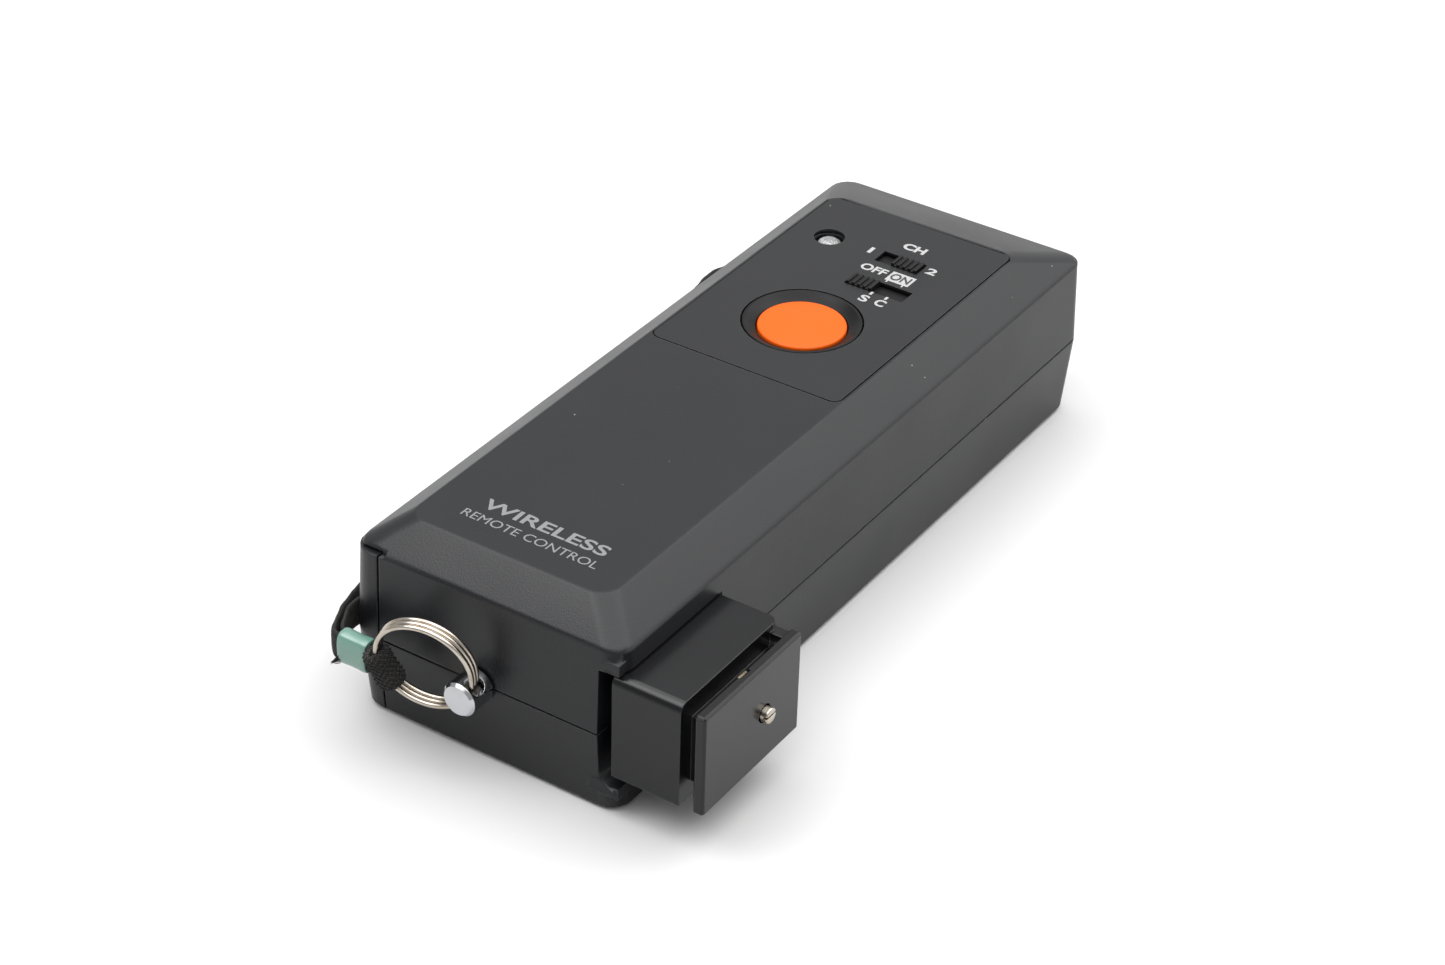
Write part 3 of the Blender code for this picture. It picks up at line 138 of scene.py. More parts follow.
def spinPiece(name, profile, centre, axis=(0, 0, 1), steps=64, smooth=35):
    # a round piece: a profile of (radius, height) spun about an axis, closed at its poles
    turn = Vector((0, 0, 1)).rotation_difference(Vector(axis)).to_matrix()
    centre = Vector(centre)
    points = [centre + turn @ Vector((radius, 0, height)) for radius, height in profile]
    piece = newPiece(name, points, [(i, i + 1) for i in range(len(points) - 1)])
    bpy.ops.object.mode_set(mode="EDIT")
    bpy.ops.mesh.select_all(action="SELECT")
    bpy.ops.mesh.spin(steps=steps, angle=2 * math.pi, center=centre, axis=turn @ Vector((0, 0, 1)))
    bpy.ops.mesh.select_all(action="SELECT")
    bpy.ops.mesh.remove_doubles(threshold=0.000002)
    bpy.ops.mesh.normals_make_consistent(inside=False)
    bpy.ops.object.mode_set(mode="OBJECT")
    return smoothPiece(piece, smooth)


def copyNode(node, name, smooth=32, edge=0.0):
    # a merged copy of a frame node with its flats made whole, so that it can be shaded and softened
    piece = bpy.data.objects.new(name, nodes[node].data.copy())
    piece.data.materials.clear()
    bpy.context.scene.collection.objects.link(piece)
    makeActive(piece)
    bpy.ops.object.mode_set(mode="EDIT")
    bpy.ops.mesh.select_all(action="SELECT")
    bpy.ops.mesh.remove_doubles(threshold=0.000001)
    bpy.ops.mesh.dissolve_limited(angle_limit=math.radians(1.0))
    bpy.ops.object.mode_set(mode="OBJECT")
    if edge:
        softenEdges(piece, edge)
    smoothPiece(piece, smooth)
    weighted = piece.modifiers.new("weighted", "WEIGHTED_NORMAL")
    weighted.keep_sharp = True
    return applyAll(piece)


def finishPiece(piece, material, body, slot, *replaced):
    piece.data.materials.clear()
    piece.data.materials.append(material)
    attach(piece, body)
    if replaced:
        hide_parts(*replaced)
    return piece


def smoothPath(route, steps):
    knots = [Vector(p) for p in route]
    ends = [2 * knots[0] - knots[1]] + knots + [2 * knots[-1] - knots[-2]]
    points = []
    for a, b, c, d in zip(ends, ends[1:], ends[2:], ends[3:]):
        for i in range(steps):
            t = i / steps
            points.append(0.5 * (2 * b + (c - a) * t + (2 * a - 5 * b + 4 * c - d) * t * t
                                 + (3 * b - a - 3 * c + d) * t ** 3))
    return points + [knots[-1]]


def skinRings(name, rings, closed=False):
    # skins equal rings of points, with a UV map that runs round (u) and along (v, in metres)
    bm = bmesh.new()
    uvMap = bm.loops.layers.uv.new("along")
    rows = [[bm.verts.new(p) for p in ring] for ring in rings]
    count = len(rows[0])
    travelled = [0.0]
    middles = [sum((Vector(p) for p in ring), Vector()) / count for ring in rings]
    for before, after in zip(middles, middles[1:] + middles[:1]):
        travelled.append(travelled[-1] + (after - before).length)
    pairs = list(zip(rows, rows[1:])) + ([(rows[-1], rows[0])] if closed else [])
    for k, (low, high) in enumerate(pairs):
        for i in range(count):
            j = (i + 1) % count
            face = bm.faces.new((low[i], low[j], high[j], high[i]))
            spots = ((i, k), (i + 1, k), (i + 1, k + 1), (i, k + 1))
            for loop, (u, v) in zip(face.loops, spots):
                loop[uvMap].uv = (u / count, travelled[v])
    if not closed:
        bm.faces.new(list(reversed(rows[0])))
        bm.faces.new(rows[-1])
    bmesh.ops.recalc_face_normals(bm, faces=bm.faces)
    mesh = bpy.data.meshes.new(name)
    bm.to_mesh(mesh)
    bm.free()
    piece = bpy.data.objects.new(name, mesh)
    bpy.context.scene.collection.objects.link(piece)
    return piece


# shared effects, as node groups

def socketIn(group, name, value):
    made = group.interface.new_socket(name=name, in_out="INPUT", socket_type="NodeSocketFloat")
    made.default_value = value


def socketOut(group, name, kind="NodeSocketFloat"):
    group.interface.new_socket(name=name, in_out="OUTPUT", socket_type=kind)


def addNode(tree, kind, inputs=None, **settings):
    node = tree.nodes.new("ShaderNode" + kind)
    for key, value in settings.items():
        setattr(node, key, value)
    for key, value in (inputs or {}).items():
        if isinstance(value, bpy.types.NodeSocket):
            tree.links.new(value, node.inputs[key])
        else:
            node.inputs[key].default_value = value
    return node


def mathNode(tree, operation, first, second=0.0, clamp=False):
    return addNode(tree, "Math", {0: first, 1: second}, operation=operation, use_clamp=clamp).outputs[0]


def makeGrainGroup():
    # fine moulded texture: a height for a bump, and a slow change of tone
    group = bpy.data.node_groups.new("mouldedGrain", "ShaderNodeTree")
    socketIn(group, "Scale", 3000.0)
    socketIn(group, "Patch Scale", 60.0)
    socketOut(group, "Height")
    socketOut(group, "Patches")
    start = group.nodes.new("NodeGroupInput")
    end = group.nodes.new("NodeGroupOutput")
    place = addNode(group, "TexCoord")
    fine = addNode(group, "TexNoise", {"Vector": place.outputs["Object"], "Scale": start.outputs["Scale"],
                                       "Detail": 2.0, "Roughness": 0.6})
    cells = addNode(group, "TexVoronoi", {"Vector": place.outputs["Object"],
                                          "Scale": start.outputs["Scale"]})
    height = mathNode(group, "ADD", fine.outputs["Fac"], cells.outputs["Distance"])
    patches = addNode(group, "TexNoise", {"Vector": place.outputs["Object"],
                                          "Scale": start.outputs["Patch Scale"], "Detail": 5.0})
    group.links.new(height, end.inputs["Height"])
    group.links.new(patches.outputs["Fac"], end.inputs["Patches"])
    return group


def makeEdgeGroup():
    # softened edges: a normal that rounds them, and a mask of the worn line along them
    group = bpy.data.node_groups.new("softEdges", "ShaderNodeTree")
    socketIn(group, "Radius", 0.0002)
    socketIn(group, "Wear", 1.0)
    socketOut(group, "Normal", "NodeSocketVector")
    socketOut(group, "Mask")
    start = group.nodes.new("NodeGroupInput")
    end = group.nodes.new("NodeGroupOutput")
    rounded = addNode(group, "Bevel", {"Radius": start.outputs["Radius"]}, samples=4)
    geometry = addNode(group, "NewGeometry")
    facing = addNode(group, "VectorMath", {0: rounded.outputs[0], 1: geometry.outputs["Normal"]},
                     operation="DOT_PRODUCT")
    away = mathNode(group, "SUBTRACT", 1.0, facing.outputs["Value"])
    place = addNode(group, "TexCoord")
    broken = addNode(group, "TexNoise", {"Vector": place.outputs["Object"], "Scale": 700.0, "Detail": 4.0})
    scaled = mathNode(group, "MULTIPLY", away, start.outputs["Wear"])
    mask = mathNode(group, "MULTIPLY", scaled, broken.outputs["Fac"], clamp=True)
    group.links.new(rounded.outputs[0], end.inputs["Normal"])
    group.links.new(mask, end.inputs["Mask"])
    return group


def makeDustGroup():
    # specks of dust that lie on what faces up
    group = bpy.data.node_groups.new("dustSpecks", "ShaderNodeTree")
    socketIn(group, "Scale", 420.0)
    socketIn(group, "Size", 0.06)
    socketOut(group, "Mask")
    start = group.nodes.new("NodeGroupInput")
    end = group.nodes.new("NodeGroupOutput")
    place = addNode(group, "TexCoord")
    cells = addNode(group, "TexVoronoi", {"Vector": place.outputs["Object"],
                                          "Scale": start.outputs["Scale"]})
    pick = addNode(group, "SeparateColor", {"Color": cells.outputs["Color"]})
    size = mathNode(group, "MULTIPLY", pick.outputs[0], start.outputs["Size"])
    chosen = mathNode(group, "GREATER_THAN", pick.outputs[1], 0.80)
    near = mathNode(group, "LESS_THAN", cells.outputs["Distance"], size)
    geometry = addNode(group, "NewGeometry")
    upward = addNode(group, "SeparateXYZ", {0: geometry.outputs["Normal"]})
    facing = mathNode(group, "GREATER_THAN", upward.outputs["Z"], 0.5)
    speck = mathNode(group, "MULTIPLY", near, chosen)
    mask = mathNode(group, "MULTIPLY", speck, facing)
    group.links.new(mask, end.inputs["Mask"])
    return group


grainGroup = makeGrainGroup()
edgeGroup = makeEdgeGroup()
dustGroup = makeDustGroup()


def placeGroup(tree, group, **values):
    node = tree.nodes.new("ShaderNodeGroup")
    node.node_tree = group
    for name, value in values.items():
        node.inputs[name.replace("_", " ")].default_value = value
    return node


def blankMaterial(name):
    material = bpy.data.materials.new(name)
    material.use_nodes = True
    return material, material.node_tree, material.node_tree.nodes["Principled BSDF"]


def mixColours(tree, factor, first, second):
    node = addNode(tree, "Mix", {0: factor, 6: first, 7: second}, data_type="RGBA")
    return node.outputs[2]


def mouldedPlastic(name, colour, roughness, grain=3200.0, depth=0.00002, edge=0.0002, wear=2.0, dust=0.0,
                   spread=0.12, worn=(0.08, 0.08, 0.085), gloss=0.32):
    # plastic with its moulded texture, softened and slightly polished edges, and dust
    material, tree, shader = blankMaterial(name)
    shader.inputs["Specular IOR Level"].default_value = gloss
    texture = placeGroup(tree, grainGroup, Scale=grain, Patch_Scale=70.0)
    edges = placeGroup(tree, edgeGroup, Radius=edge, Wear=wear)
    low = (*(c * (1 - spread) for c in colour), 1.0)
    high = (*(c * (1 + spread) for c in colour), 1.0)
    base = mixColours(tree, texture.outputs["Patches"], low, high)
    base = mixColours(tree, edges.outputs["Mask"], base, (*worn, 1.0))
    if dust:
        specks = placeGroup(tree, dustGroup, Scale=420.0, Size=dust)
        base = mixColours(tree, specks.outputs["Mask"], base, (0.45, 0.44, 0.42, 1.0))
    tree.links.new(base, shader.inputs["Base Color"])
    rough = addNode(tree, "MapRange", {0: texture.outputs["Patches"], 3: roughness - 0.05,
                                       4: roughness + 0.07})
    tree.links.new(rough.outputs[0], shader.inputs["Roughness"])
    bump = addNode(tree, "Bump", {"Height": texture.outputs["Height"], "Distance": depth, "Strength": 0.6,
                                  "Normal": edges.outputs["Normal"]})
    tree.links.new(bump.outputs[0], shader.inputs["Normal"])
    return material


def polishedMetal(name, colour, roughness, edge=0.00015, streak=400.0, stain=(0.5, 0.45, 0.38)):
    # plated or bare metal with fine lines and faint stains
    material, tree, shader = blankMaterial(name)
    shader.inputs["Metallic"].default_value = 1.0
    texture = placeGroup(tree, grainGroup, Scale=streak * 4, Patch_Scale=streak)
    edges = placeGroup(tree, edgeGroup, Radius=edge, Wear=0.6)
    low = (*(c * s for c, s in zip(colour, stain)), 1.0)
    patches = addNode(tree, "MapRange", {0: texture.outputs["Patches"], 1: 0.25, 2: 0.55})
    base = mixColours(tree, patches.outputs[0], low, (*colour, 1.0))
    tree.links.new(base, shader.inputs["Base Color"])
    rough = addNode(tree, "MapRange", {0: texture.outputs["Patches"], 1: 0.3, 2: 0.7, 3: roughness + 0.12,
                                       4: roughness})
    tree.links.new(rough.outputs[0], shader.inputs["Roughness"])
    bump = addNode(tree, "Bump", {"Height": texture.outputs["Height"], "Distance": 0.000006,
                                  "Strength": 0.3, "Normal": edges.outputs["Normal"]})
    tree.links.new(bump.outputs[0], shader.inputs["Normal"])
    return material


def clearPlastic(name, colour, roughness, transmission=1.0, coat=0.0):
    # clear or tinted plastic, with faint changes of polish
    material, tree, shader = blankMaterial(name)
    shader.inputs["Transmission Weight"].default_value = transmission
    shader.inputs["IOR"].default_value = 1.49
    shader.inputs["Coat Weight"].default_value = coat
    shader.inputs["Coat Roughness"].default_value = 0.12
    texture = placeGroup(tree, grainGroup, Scale=900.0, Patch_Scale=200.0)
    low = (*(c * 0.94 for c in colour), 1.0)
    base = mixColours(tree, texture.outputs["Patches"], low, (*colour, 1.0))
    tree.links.new(base, shader.inputs["Base Color"])
    rough = addNode(tree, "MapRange", {0: texture.outputs["Patches"], 3: roughness, 4: roughness + 0.06})
    tree.links.new(rough.outputs[0], shader.inputs["Roughness"])
    return material


def printedInk(name, colour):
    # screen-printed ink, thin in places
    material, tree, shader = blankMaterial(name)
    texture = placeGroup(tree, grainGroup, Scale=5000.0, Patch_Scale=2500.0)
    low = (*(c * 0.72 for c in colour), 1.0)
    base = mixColours(tree, texture.outputs["Patches"], low, (*colour, 1.0))
    tree.links.new(base, shader.inputs["Base Color"])
    shader.inputs["Roughness"].default_value = 0.55
    bump = addNode(tree, "Bump", {"Height": texture.outputs["Height"], "Distance": 0.00001,
                                  "Strength": 0.4})
    tree.links.new(bump.outputs[0], shader.inputs["Normal"])
    return material


def wovenCord(name, colour, light, ribs=1100.0, across=12.0):
    # a flat braid: slanted threads both ways on the piece's own UV map
    material, tree, shader = blankMaterial(name)
    place = addNode(tree, "UVMap", uv_map="along")
    split = addNode(tree, "SeparateXYZ", {0: place.outputs[0]})
    u = mathNode(tree, "MULTIPLY", split.outputs["X"], across * 2 * math.pi)
    v = mathNode(tree, "MULTIPLY", split.outputs["Y"], ribs * 2 * math.pi)
    right = mathNode(tree, "SINE", mathNode(tree, "ADD", u, v))
    left = mathNode(tree, "SINE", mathNode(tree, "SUBTRACT", u, v))
    height = mathNode(tree, "MULTIPLY", mathNode(tree, "ABSOLUTE", right), mathNode(tree, "ABSOLUTE", left))
    texture = placeGroup(tree, grainGroup, Scale=6000.0, Patch_Scale=300.0)
    fuzz = mathNode(tree, "MULTIPLY", texture.outputs["Height"], 0.35)
    total = mathNode(tree, "ADD", height, fuzz)
    # the colour follows the weave's height: hollows between threads painted darker as painted shade, ridges
    # painted lighter as painted highlight
    weaveShadeAndHighlight = addNode(tree, "MapRange", {0: total, 1: 0.1, 2: 1.1})
    base = mixColours(tree, weaveShadeAndHighlight.outputs[0], (*colour, 1.0), (*light, 1.0))
    tree.links.new(base, shader.inputs["Base Color"])
    shader.inputs["Roughness"].default_value = 0.85
    shader.inputs["Specular IOR Level"].default_value = 0.25
    shader.inputs["Sheen Weight"].default_value = 0.08
    shader.inputs["Sheen Roughness"].default_value = 0.5
    bump = addNode(tree, "Bump", {"Height": total, "Distance": 0.0004, "Strength": 1.0})
    tree.links.new(bump.outputs[0], shader.inputs["Normal"])
    return material


finishes = {
    "case": mouldedPlastic("casePlastic", (0.0058, 0.0062, 0.0074), 0.36, dust=0.05, edge=0.00045),
    "block": mouldedPlastic("blockPlastic", (0.0040, 0.0042, 0.0048), 0.20, grain=2600.0, depth=0.00001,
                            edge=0.0003),
    "panel": mouldedPlastic("panelSheet", (0.0062, 0.0065, 0.0075), 0.38, grain=4200.0, depth=0.000012,
                            dust=0.05),
    "bezel": mouldedPlastic("bezelPlastic", (0.003, 0.003, 0.0032), 0.34, edge=0.00012, wear=1.0,
                            gloss=0.16),
    "knob": mouldedPlastic("knobPlastic", (0.004, 0.004, 0.0045), 0.45, edge=0.00012, wear=2.0, gloss=0.2),
    "inner": mouldedPlastic("innerPlastic", (0.012, 0.012, 0.013), 0.5),
    "orange": mouldedPlastic("orangePlastic", (0.62, 0.082, 0.0), 0.40, grain=3500.0, depth=0.00001,
                             wear=0.3, spread=0.03, worn=(0.7, 0.14, 0.0), gloss=0.2),
    "chrome": polishedMetal("chromePlate", (0.52, 0.53, 0.55), 0.09, stain=(0.88, 0.87, 0.85)),
    "nickel": polishedMetal("nickelWire", (0.50, 0.455, 0.40), 0.13, edge=0.0001, stain=(0.75, 0.68, 0.6)),
    "brass": polishedMetal("contactPlate", (0.50, 0.455, 0.39), 0.20, edge=0.0001, stain=(0.8, 0.72, 0.6)),
    # the earth contact's metal colour is darkened to paint the shade of the groove it sits in
    "grooveShadedMetal": polishedMetal("grooveShadedPlate", (0.14, 0.115, 0.08), 0.35, edge=0.0001),
    "steel": polishedMetal("screwSteel", (0.58, 0.58, 0.58), 0.28, stain=(0.8, 0.78, 0.74)),
    "clear": clearPlastic("clearLens", (0.93, 0.95, 0.95), 0.03, 0.82),
    "darkRed": clearPlastic("infraredWindow", (0.16, 0.006, 0.010), 0.06, 0.5),
    "vinyl": clearPlastic("greenVinyl", (0.15, 0.32, 0.255), 0.30, 0.35, 0.8),
    "ink": printedInk("whiteInk", (0.36, 0.36, 0.36)),
    "greyInk": printedInk("greyInk", (0.17, 0.175, 0.18)),
    "darkInk": printedInk("darkInk", (0.02, 0.02, 0.02)),
    "board": mouldedPlastic("boardGreen", (0.02, 0.13, 0.05), 0.4, grain=1500.0, worn=(0.5, 0.5, 0.3)),
    "jacket": mouldedPlastic("cellJacket", (0.10, 0.10, 0.11), 0.3, grain=900.0, wear=0.6),
    # each cord is painted dark in the weave's hollows and lighter on its ridges, as painted shade and
    # painted highlight
    "cord": wovenCord("wovenStrap", (0.0015, 0.0014, 0.0013), (0.020, 0.018, 0.016)),
    "thread": wovenCord("looseThread", (0.002, 0.002, 0.002), (0.012, 0.012, 0.012), 500.0, 2.0),
}
print("materials ready:", len(finishes))


# the strap, one flat cord on its edge, with the sleeve and the fold round the ring

strapSet = {
    "width": 0.0050,
    "thickness": 0.0010,
    "steps": 8,
    "route": (
        (-0.0228, -0.0797, 0.0165), (-0.0238, -0.0795, 0.0165), (-0.0247, -0.0787, 0.0165),
        (-0.0254, -0.0773, 0.0164), (-0.0264, -0.0752, 0.0163), (-0.0273, -0.0732, 0.0162),
        (-0.0280, -0.0709, 0.0160), (-0.0289, -0.0680, 0.0157), (-0.0302, -0.0636, 0.0147),
        (-0.0320, -0.0576, 0.0125), (-0.0342, -0.0496, 0.0093), (-0.0366, -0.0404, 0.0060),
        (-0.0389, -0.0306, 0.0036), (-0.0408, -0.0190, 0.0027), (-0.0424, -0.0060, 0.0026),
        (-0.0438, 0.0080, 0.0026), (-0.0451, 0.0220, 0.0026), (-0.0463, 0.0350, 0.0026),
        (-0.0473, 0.0460, 0.0026), (-0.0482, 0.0538, 0.0026), (-0.0492, 0.0602, 0.0026),
        (-0.0499, 0.0645, 0.0026), (-0.0494, 0.0686, 0.0026), (-0.0466, 0.0721, 0.0026),
        (-0.0424, 0.0736, 0.0026), (-0.0381, 0.0726, 0.0026), (-0.0348, 0.0697, 0.0026),
        (-0.0331, 0.0656, 0.0026), (-0.0325, 0.0605, 0.0026), (-0.0321, 0.0510, 0.0026),
        (-0.0320, 0.0390, 0.0026), (-0.0320, 0.0260, 0.0026), (-0.0319, 0.0120, 0.0026),
        (-0.0316, -0.0020, 0.0026), (-0.0310, -0.0160, 0.0028), (-0.0302, -0.0290, 0.0037),
        (-0.0294, -0.0390, 0.0058), (-0.0286, -0.0480, 0.0089), (-0.0278, -0.0560, 0.0120),
        (-0.0271, -0.0625, 0.0143), (-0.0268, -0.0685, 0.0157), (-0.0264, -0.0726, 0.0162),
        (-0.0254, -0.0748, 0.0163), (-0.0243, -0.0768, 0.0164), (-0.0236, -0.0778, 0.0165),
        (-0.0228, -0.0784, 0.0165),
    ),
}


def bandRing(point, way, width, thickness, count=24):
    # a flat section with round edges, on its edge, square to the way that it runs
    level = Vector((way.x, way.y, 0)).normalized()
    side = Vector((0, 0, 1)).cross(level)
    up = Vector((0, 0, 1))
    ring = []
    for i in range(count):
        angle = 2 * math.pi * i / count
        c, s = math.cos(angle), math.sin(angle)
        x = math.copysign(abs(c) ** 0.55, c) * thickness / 2
        y = math.copysign(abs(s) ** 0.75, s) * width / 2
        ring.append(point + side * x + up * y)
    return ring


def makeStrap(setup):
    points = smoothPath(setup["route"], setup["steps"])
    ways = [(b - a).normalized() for a, b in zip(points, points[1:])]
    between = [(a + b).normalized() for a, b in zip(ways, ways[1:])]
    ways = [Vector((-1, 0, 0))] + between + [Vector((1, 0, 0))]
    rings = []
    travelled = 0.0
    for k, (point, way) in enumerate(zip(points, ways)):
        travelled += (points[k] - points[k - 1]).length if k else 0.0
        ripple = 1 + 0.05 * math.sin(travelled * 2600) + 0.03 * math.sin(travelled * 900)
        rings.append(bandRing(point, way, setup["width"] * (1 + 0.02 * math.sin(travelled * 1700)),
                              setup["thickness"] * 0.96 * ripple))
    strap = skinRings("wristStrap", rings)
    smoothPiece(strap, 60)
    finishPiece(strap, finishes["cord"], "ring_and_strap", "black_cord", "strap_loop")
    length = sum((b - a).length for a, b in zip(points, points[1:]))
    return strap, points, length


sleeveLow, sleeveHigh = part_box("strap_sleeve")
sleeveMiddle = (sleeveLow + sleeveHigh) / 2
sleeveSet = {"wall": 0.0007, "corner": 0.62, "around": 40, "along": 12}


def sleeveRing(x, grow, count, corner):
    half = (sleeveHigh - sleeveLow) / 2
    ring = []
    for i in range(count):
        angle = 2 * math.pi * i / count
        c, s = math.cos(angle), math.sin(angle)
        y = math.copysign(abs(c) ** corner, c) * (half.y + grow)
        z = math.copysign(abs(s) ** corner, s) * (half.z + grow)
        ring.append(Vector((x, sleeveMiddle.y + y, sleeveMiddle.z + z)))
    return ring


def makeSleeve(setup):
    # a short flattened tube, open at both ends, its wall pinched at the middle
    rings = []
    count = setup["along"]
    for k in range(count + 1):
        t = k / count
        x = sleeveLow.x + (sleeveHigh.x - sleeveLow.x) * t
        lip = -0.00015 * (abs(2 * t - 1) ** 12)
        rings.append(sleeveRing(x, lip - 0.00012 * math.sin(math.pi * t), setup["around"], setup["corner"]))
    for k in range(count, -1, -1):
        t = k / count
        x = sleeveLow.x + (sleeveHigh.x - sleeveLow.x) * t
        rings.append(sleeveRing(x, -setup["wall"], setup["around"], setup["corner"]))
    sleeve = skinRings("gripSleeve", rings, closed=True)
    smoothPiece(sleeve, 45)
    return finishPiece(sleeve, finishes["vinyl"], "ring_and_strap", "green_vinyl", "strap_sleeve")


# split ring: one wire wound three times, with a step where it changes lane

ringSet = {
    "radius": 0.0081,
    "tilt": 35.0,
    "slack": 0.0003,
    "wire": 0.00044,
    "lane": 0.00086,
    "turns": 2.94,
    "stepsPerTurn": 120,
    "around": 14,
    "startAngle": 200.0,
    "eyeAngle": 58.0,
}
postHole = Vector((-0.0006, -0.0765, 0.01505))
tilt = math.radians(ringSet["tilt"])
ringAxis = Vector((math.sin(tilt), 0, math.cos(tilt)))
ringOut = Vector((-math.cos(tilt), -0.257, math.sin(tilt))).normalized()
ringCentre = postHole + ringOut * (ringSet["radius"] - ringSet["slack"])
ringSide = ringOut.cross(ringAxis).normalized()


def ringPoint(angle, radius, across):
    # the ring lies in the plane of ringOut and ringAxis; its own axis is ringSide
    out = math.cos(angle) * ringOut + math.sin(angle) * ringAxis
    return ringCentre + out * radius + ringSide * across


def makeRing(setup):
    total = int(setup["turns"] * setup["stepsPerTurn"])
    rings = []
    for k in range(total + 1):
        turns = k / setup["stepsPerTurn"]
        lane = math.floor(turns)
        part = turns - lane
        jog = min(1.0, max(0.0, (part - 0.90) / 0.10))
        jog = jog * jog * (3 - 2 * jog)
        across = (lane + jog - 1) * setup["lane"]
        angle = math.radians(setup["startAngle"]) + 2 * math.pi * turns
        tip = min(1.0, min(k, total - k) / 3.0)
        wire = setup["wire"] * (0.55 + 0.45 * tip)
        ring = []
        for i in range(setup["around"]):
            turn = 2 * math.pi * i / setup["around"]
            ring.append(ringPoint(angle, setup["radius"] + wire * math.cos(turn),
                                  across + wire * math.sin(turn)))
        rings.append(ring)
    ring = skinRings("splitRing", rings)
    smoothPiece(ring, 50)
    return finishPiece(ring, finishes["nickel"], "ring_and_strap", "nickel_wire", "split_ring")


# the fold of the cord round the ring, a knitted barrel with a neck into the sleeve

eyeSet = {"length": 0.0070, "radius": 0.0022, "bore": 0.00085, "around": 84, "along": 56,
          "stitch": 0.00022}
neckSet = {"width": 0.0046, "thickness": 0.00115, "apart": 0.0015, "inside": 0.0022}


def makeEye(setup):
    turn = math.radians(ringSet["eyeAngle"])
    middle = ringCentre + ringSet["radius"] * (math.cos(turn) * ringOut - math.sin(turn) * ringAxis)
    along = (math.sin(turn) * ringOut + math.cos(turn) * ringAxis).normalized()
    first = ringSide
    second = along.cross(first).normalized()
    rings = []
    for k in range(setup["along"] + 1):
        t = k / setup["along"]
        place = middle + along * (t - 0.5) * setup["length"]
        swell = 1 - 0.26 * abs(2 * t - 1) ** 8 + 0.05 * math.sin(t * math.pi * 2.5)
        ring = []
        for i in range(setup["around"]):
            angle = 2 * math.pi * i / setup["around"]
            knit = abs(math.sin(angle * 7 + t * 24)) * abs(math.sin(angle * 7 - t * 24)) * 1.6 - 0.5
            radius = setup["radius"] * swell + setup["stitch"] * knit
            ring.append(place + (first * math.cos(angle) + second * math.sin(angle)) * radius)
        rings.append(ring)
    for k in range(setup["along"], -1, -1):
        t = k / setup["along"]
        place = middle + along * (t - 0.5) * setup["length"] * 0.97
        rings.append([place + (first * math.cos(a) * 1.75 + second * math.sin(a) * 0.85) * setup["bore"]
                      for a in (2 * math.pi * i / setup["around"] for i in range(setup["around"]))])
    eye = skinRings("strapFold", rings, closed=True)
    smoothPiece(eye, 70)
    return finishPiece(eye, finishes["cord"], "ring_and_strap", "black_cord", "strap_eye"), middle


def makeNeck(setup, middle):
    # the cord's two layers between the fold and the sleeve
    necks = []
    for number, shift in enumerate((-setup["apart"] / 2, setup["apart"] / 2), 1):
        start = Vector((middle.x - 0.0010, middle.y + shift * 0.8, middle.z))
        inside = Vector((sleeveHigh.x - setup["inside"], sleeveMiddle.y + shift, sleeveMiddle.z))
        between = Vector((sleeveHigh.x + 0.0004, sleeveMiddle.y + shift * 1.1, sleeveMiddle.z))
        points = smoothPath((start, between, inside), 10)
        rings = [bandRing(p, Vector((-1, 0, 0)), setup["width"], setup["thickness"]) for p in points]
        neck = skinRings(f"foldLayer{number}", rings)
        smoothPiece(neck, 60)
        necks.append(finishPiece(neck, finishes["cord"], "ring_and_strap", "black_cord"))
    return necks


threadSet = {"count": 24, "wire": 0.00008, "steps": 14}


def makeThreads(setup):
    # loose ends that stick out under the sleeve's left end
    made = []
    for number in range(setup["count"]):
        spread = number / (setup["count"] - 1)
        wave = math.sin(number * 2.4)
        start = Vector((sleeveLow.x + 0.0006, sleeveMiddle.y - 0.0010 + 0.0006 * wave,
                        sleeveMiddle.z - 0.0004 - 0.0020 * spread))
        reach = Vector((-0.0012 - 0.0006 * spread, -0.0007 - 0.0003 * wave,
                        -0.0006 - 0.0014 * (1 - spread)))
        points = []
        for k in range(setup["steps"] + 1):
            t = k / setup["steps"]
            curl = Vector((0, math.sin(t * 5 + number) * 0.00022, math.cos(t * 4 + number * 1.7) * 0.00022))
            points.append(start + reach * t + curl * t)
        ways = [(b - a).normalized() for a, b in zip(points, points[1:])]
        ways.append(ways[-1])
        rings = []
        for k, (point, way) in enumerate(zip(points, ways)):
            side = way.cross(Vector((0, 1, 0))).normalized()
            up = way.cross(side)
            wire = setup["wire"] * (1.0 - 0.5 * k / setup["steps"])
            rings.append([point + (side * math.cos(a) + up * math.sin(a)) * wire
                          for a in (2 * math.pi * i / 6 for i in range(6))])
        made.append(skinRings(f"looseThread{number + 1}", rings))
    clearSelection()
    for thread in made:
        thread.select_set(True)
    bpy.context.view_layer.objects.active = made[0]
    bpy.ops.object.join()
    threads = bpy.context.object
    threads.name = "looseThreads"
    smoothPiece(threads, 60)
    return finishPiece(threads, finishes["thread"], "ring_and_strap", "black_cord")


strap, strapPoints, strapLength = makeStrap(strapSet)
sleeve = makeSleeve(sleeveSet)
splitRing = makeRing(ringSet)
fold, foldMiddle = makeEye(eyeSet)
necks = makeNeck(neckSet, foldMiddle)
threads = makeThreads(threadSet)
print("strap:", round(strapLength, 4), "m")


# case, panel and shoe block: merged copies of the frame's nodes, with softened edges

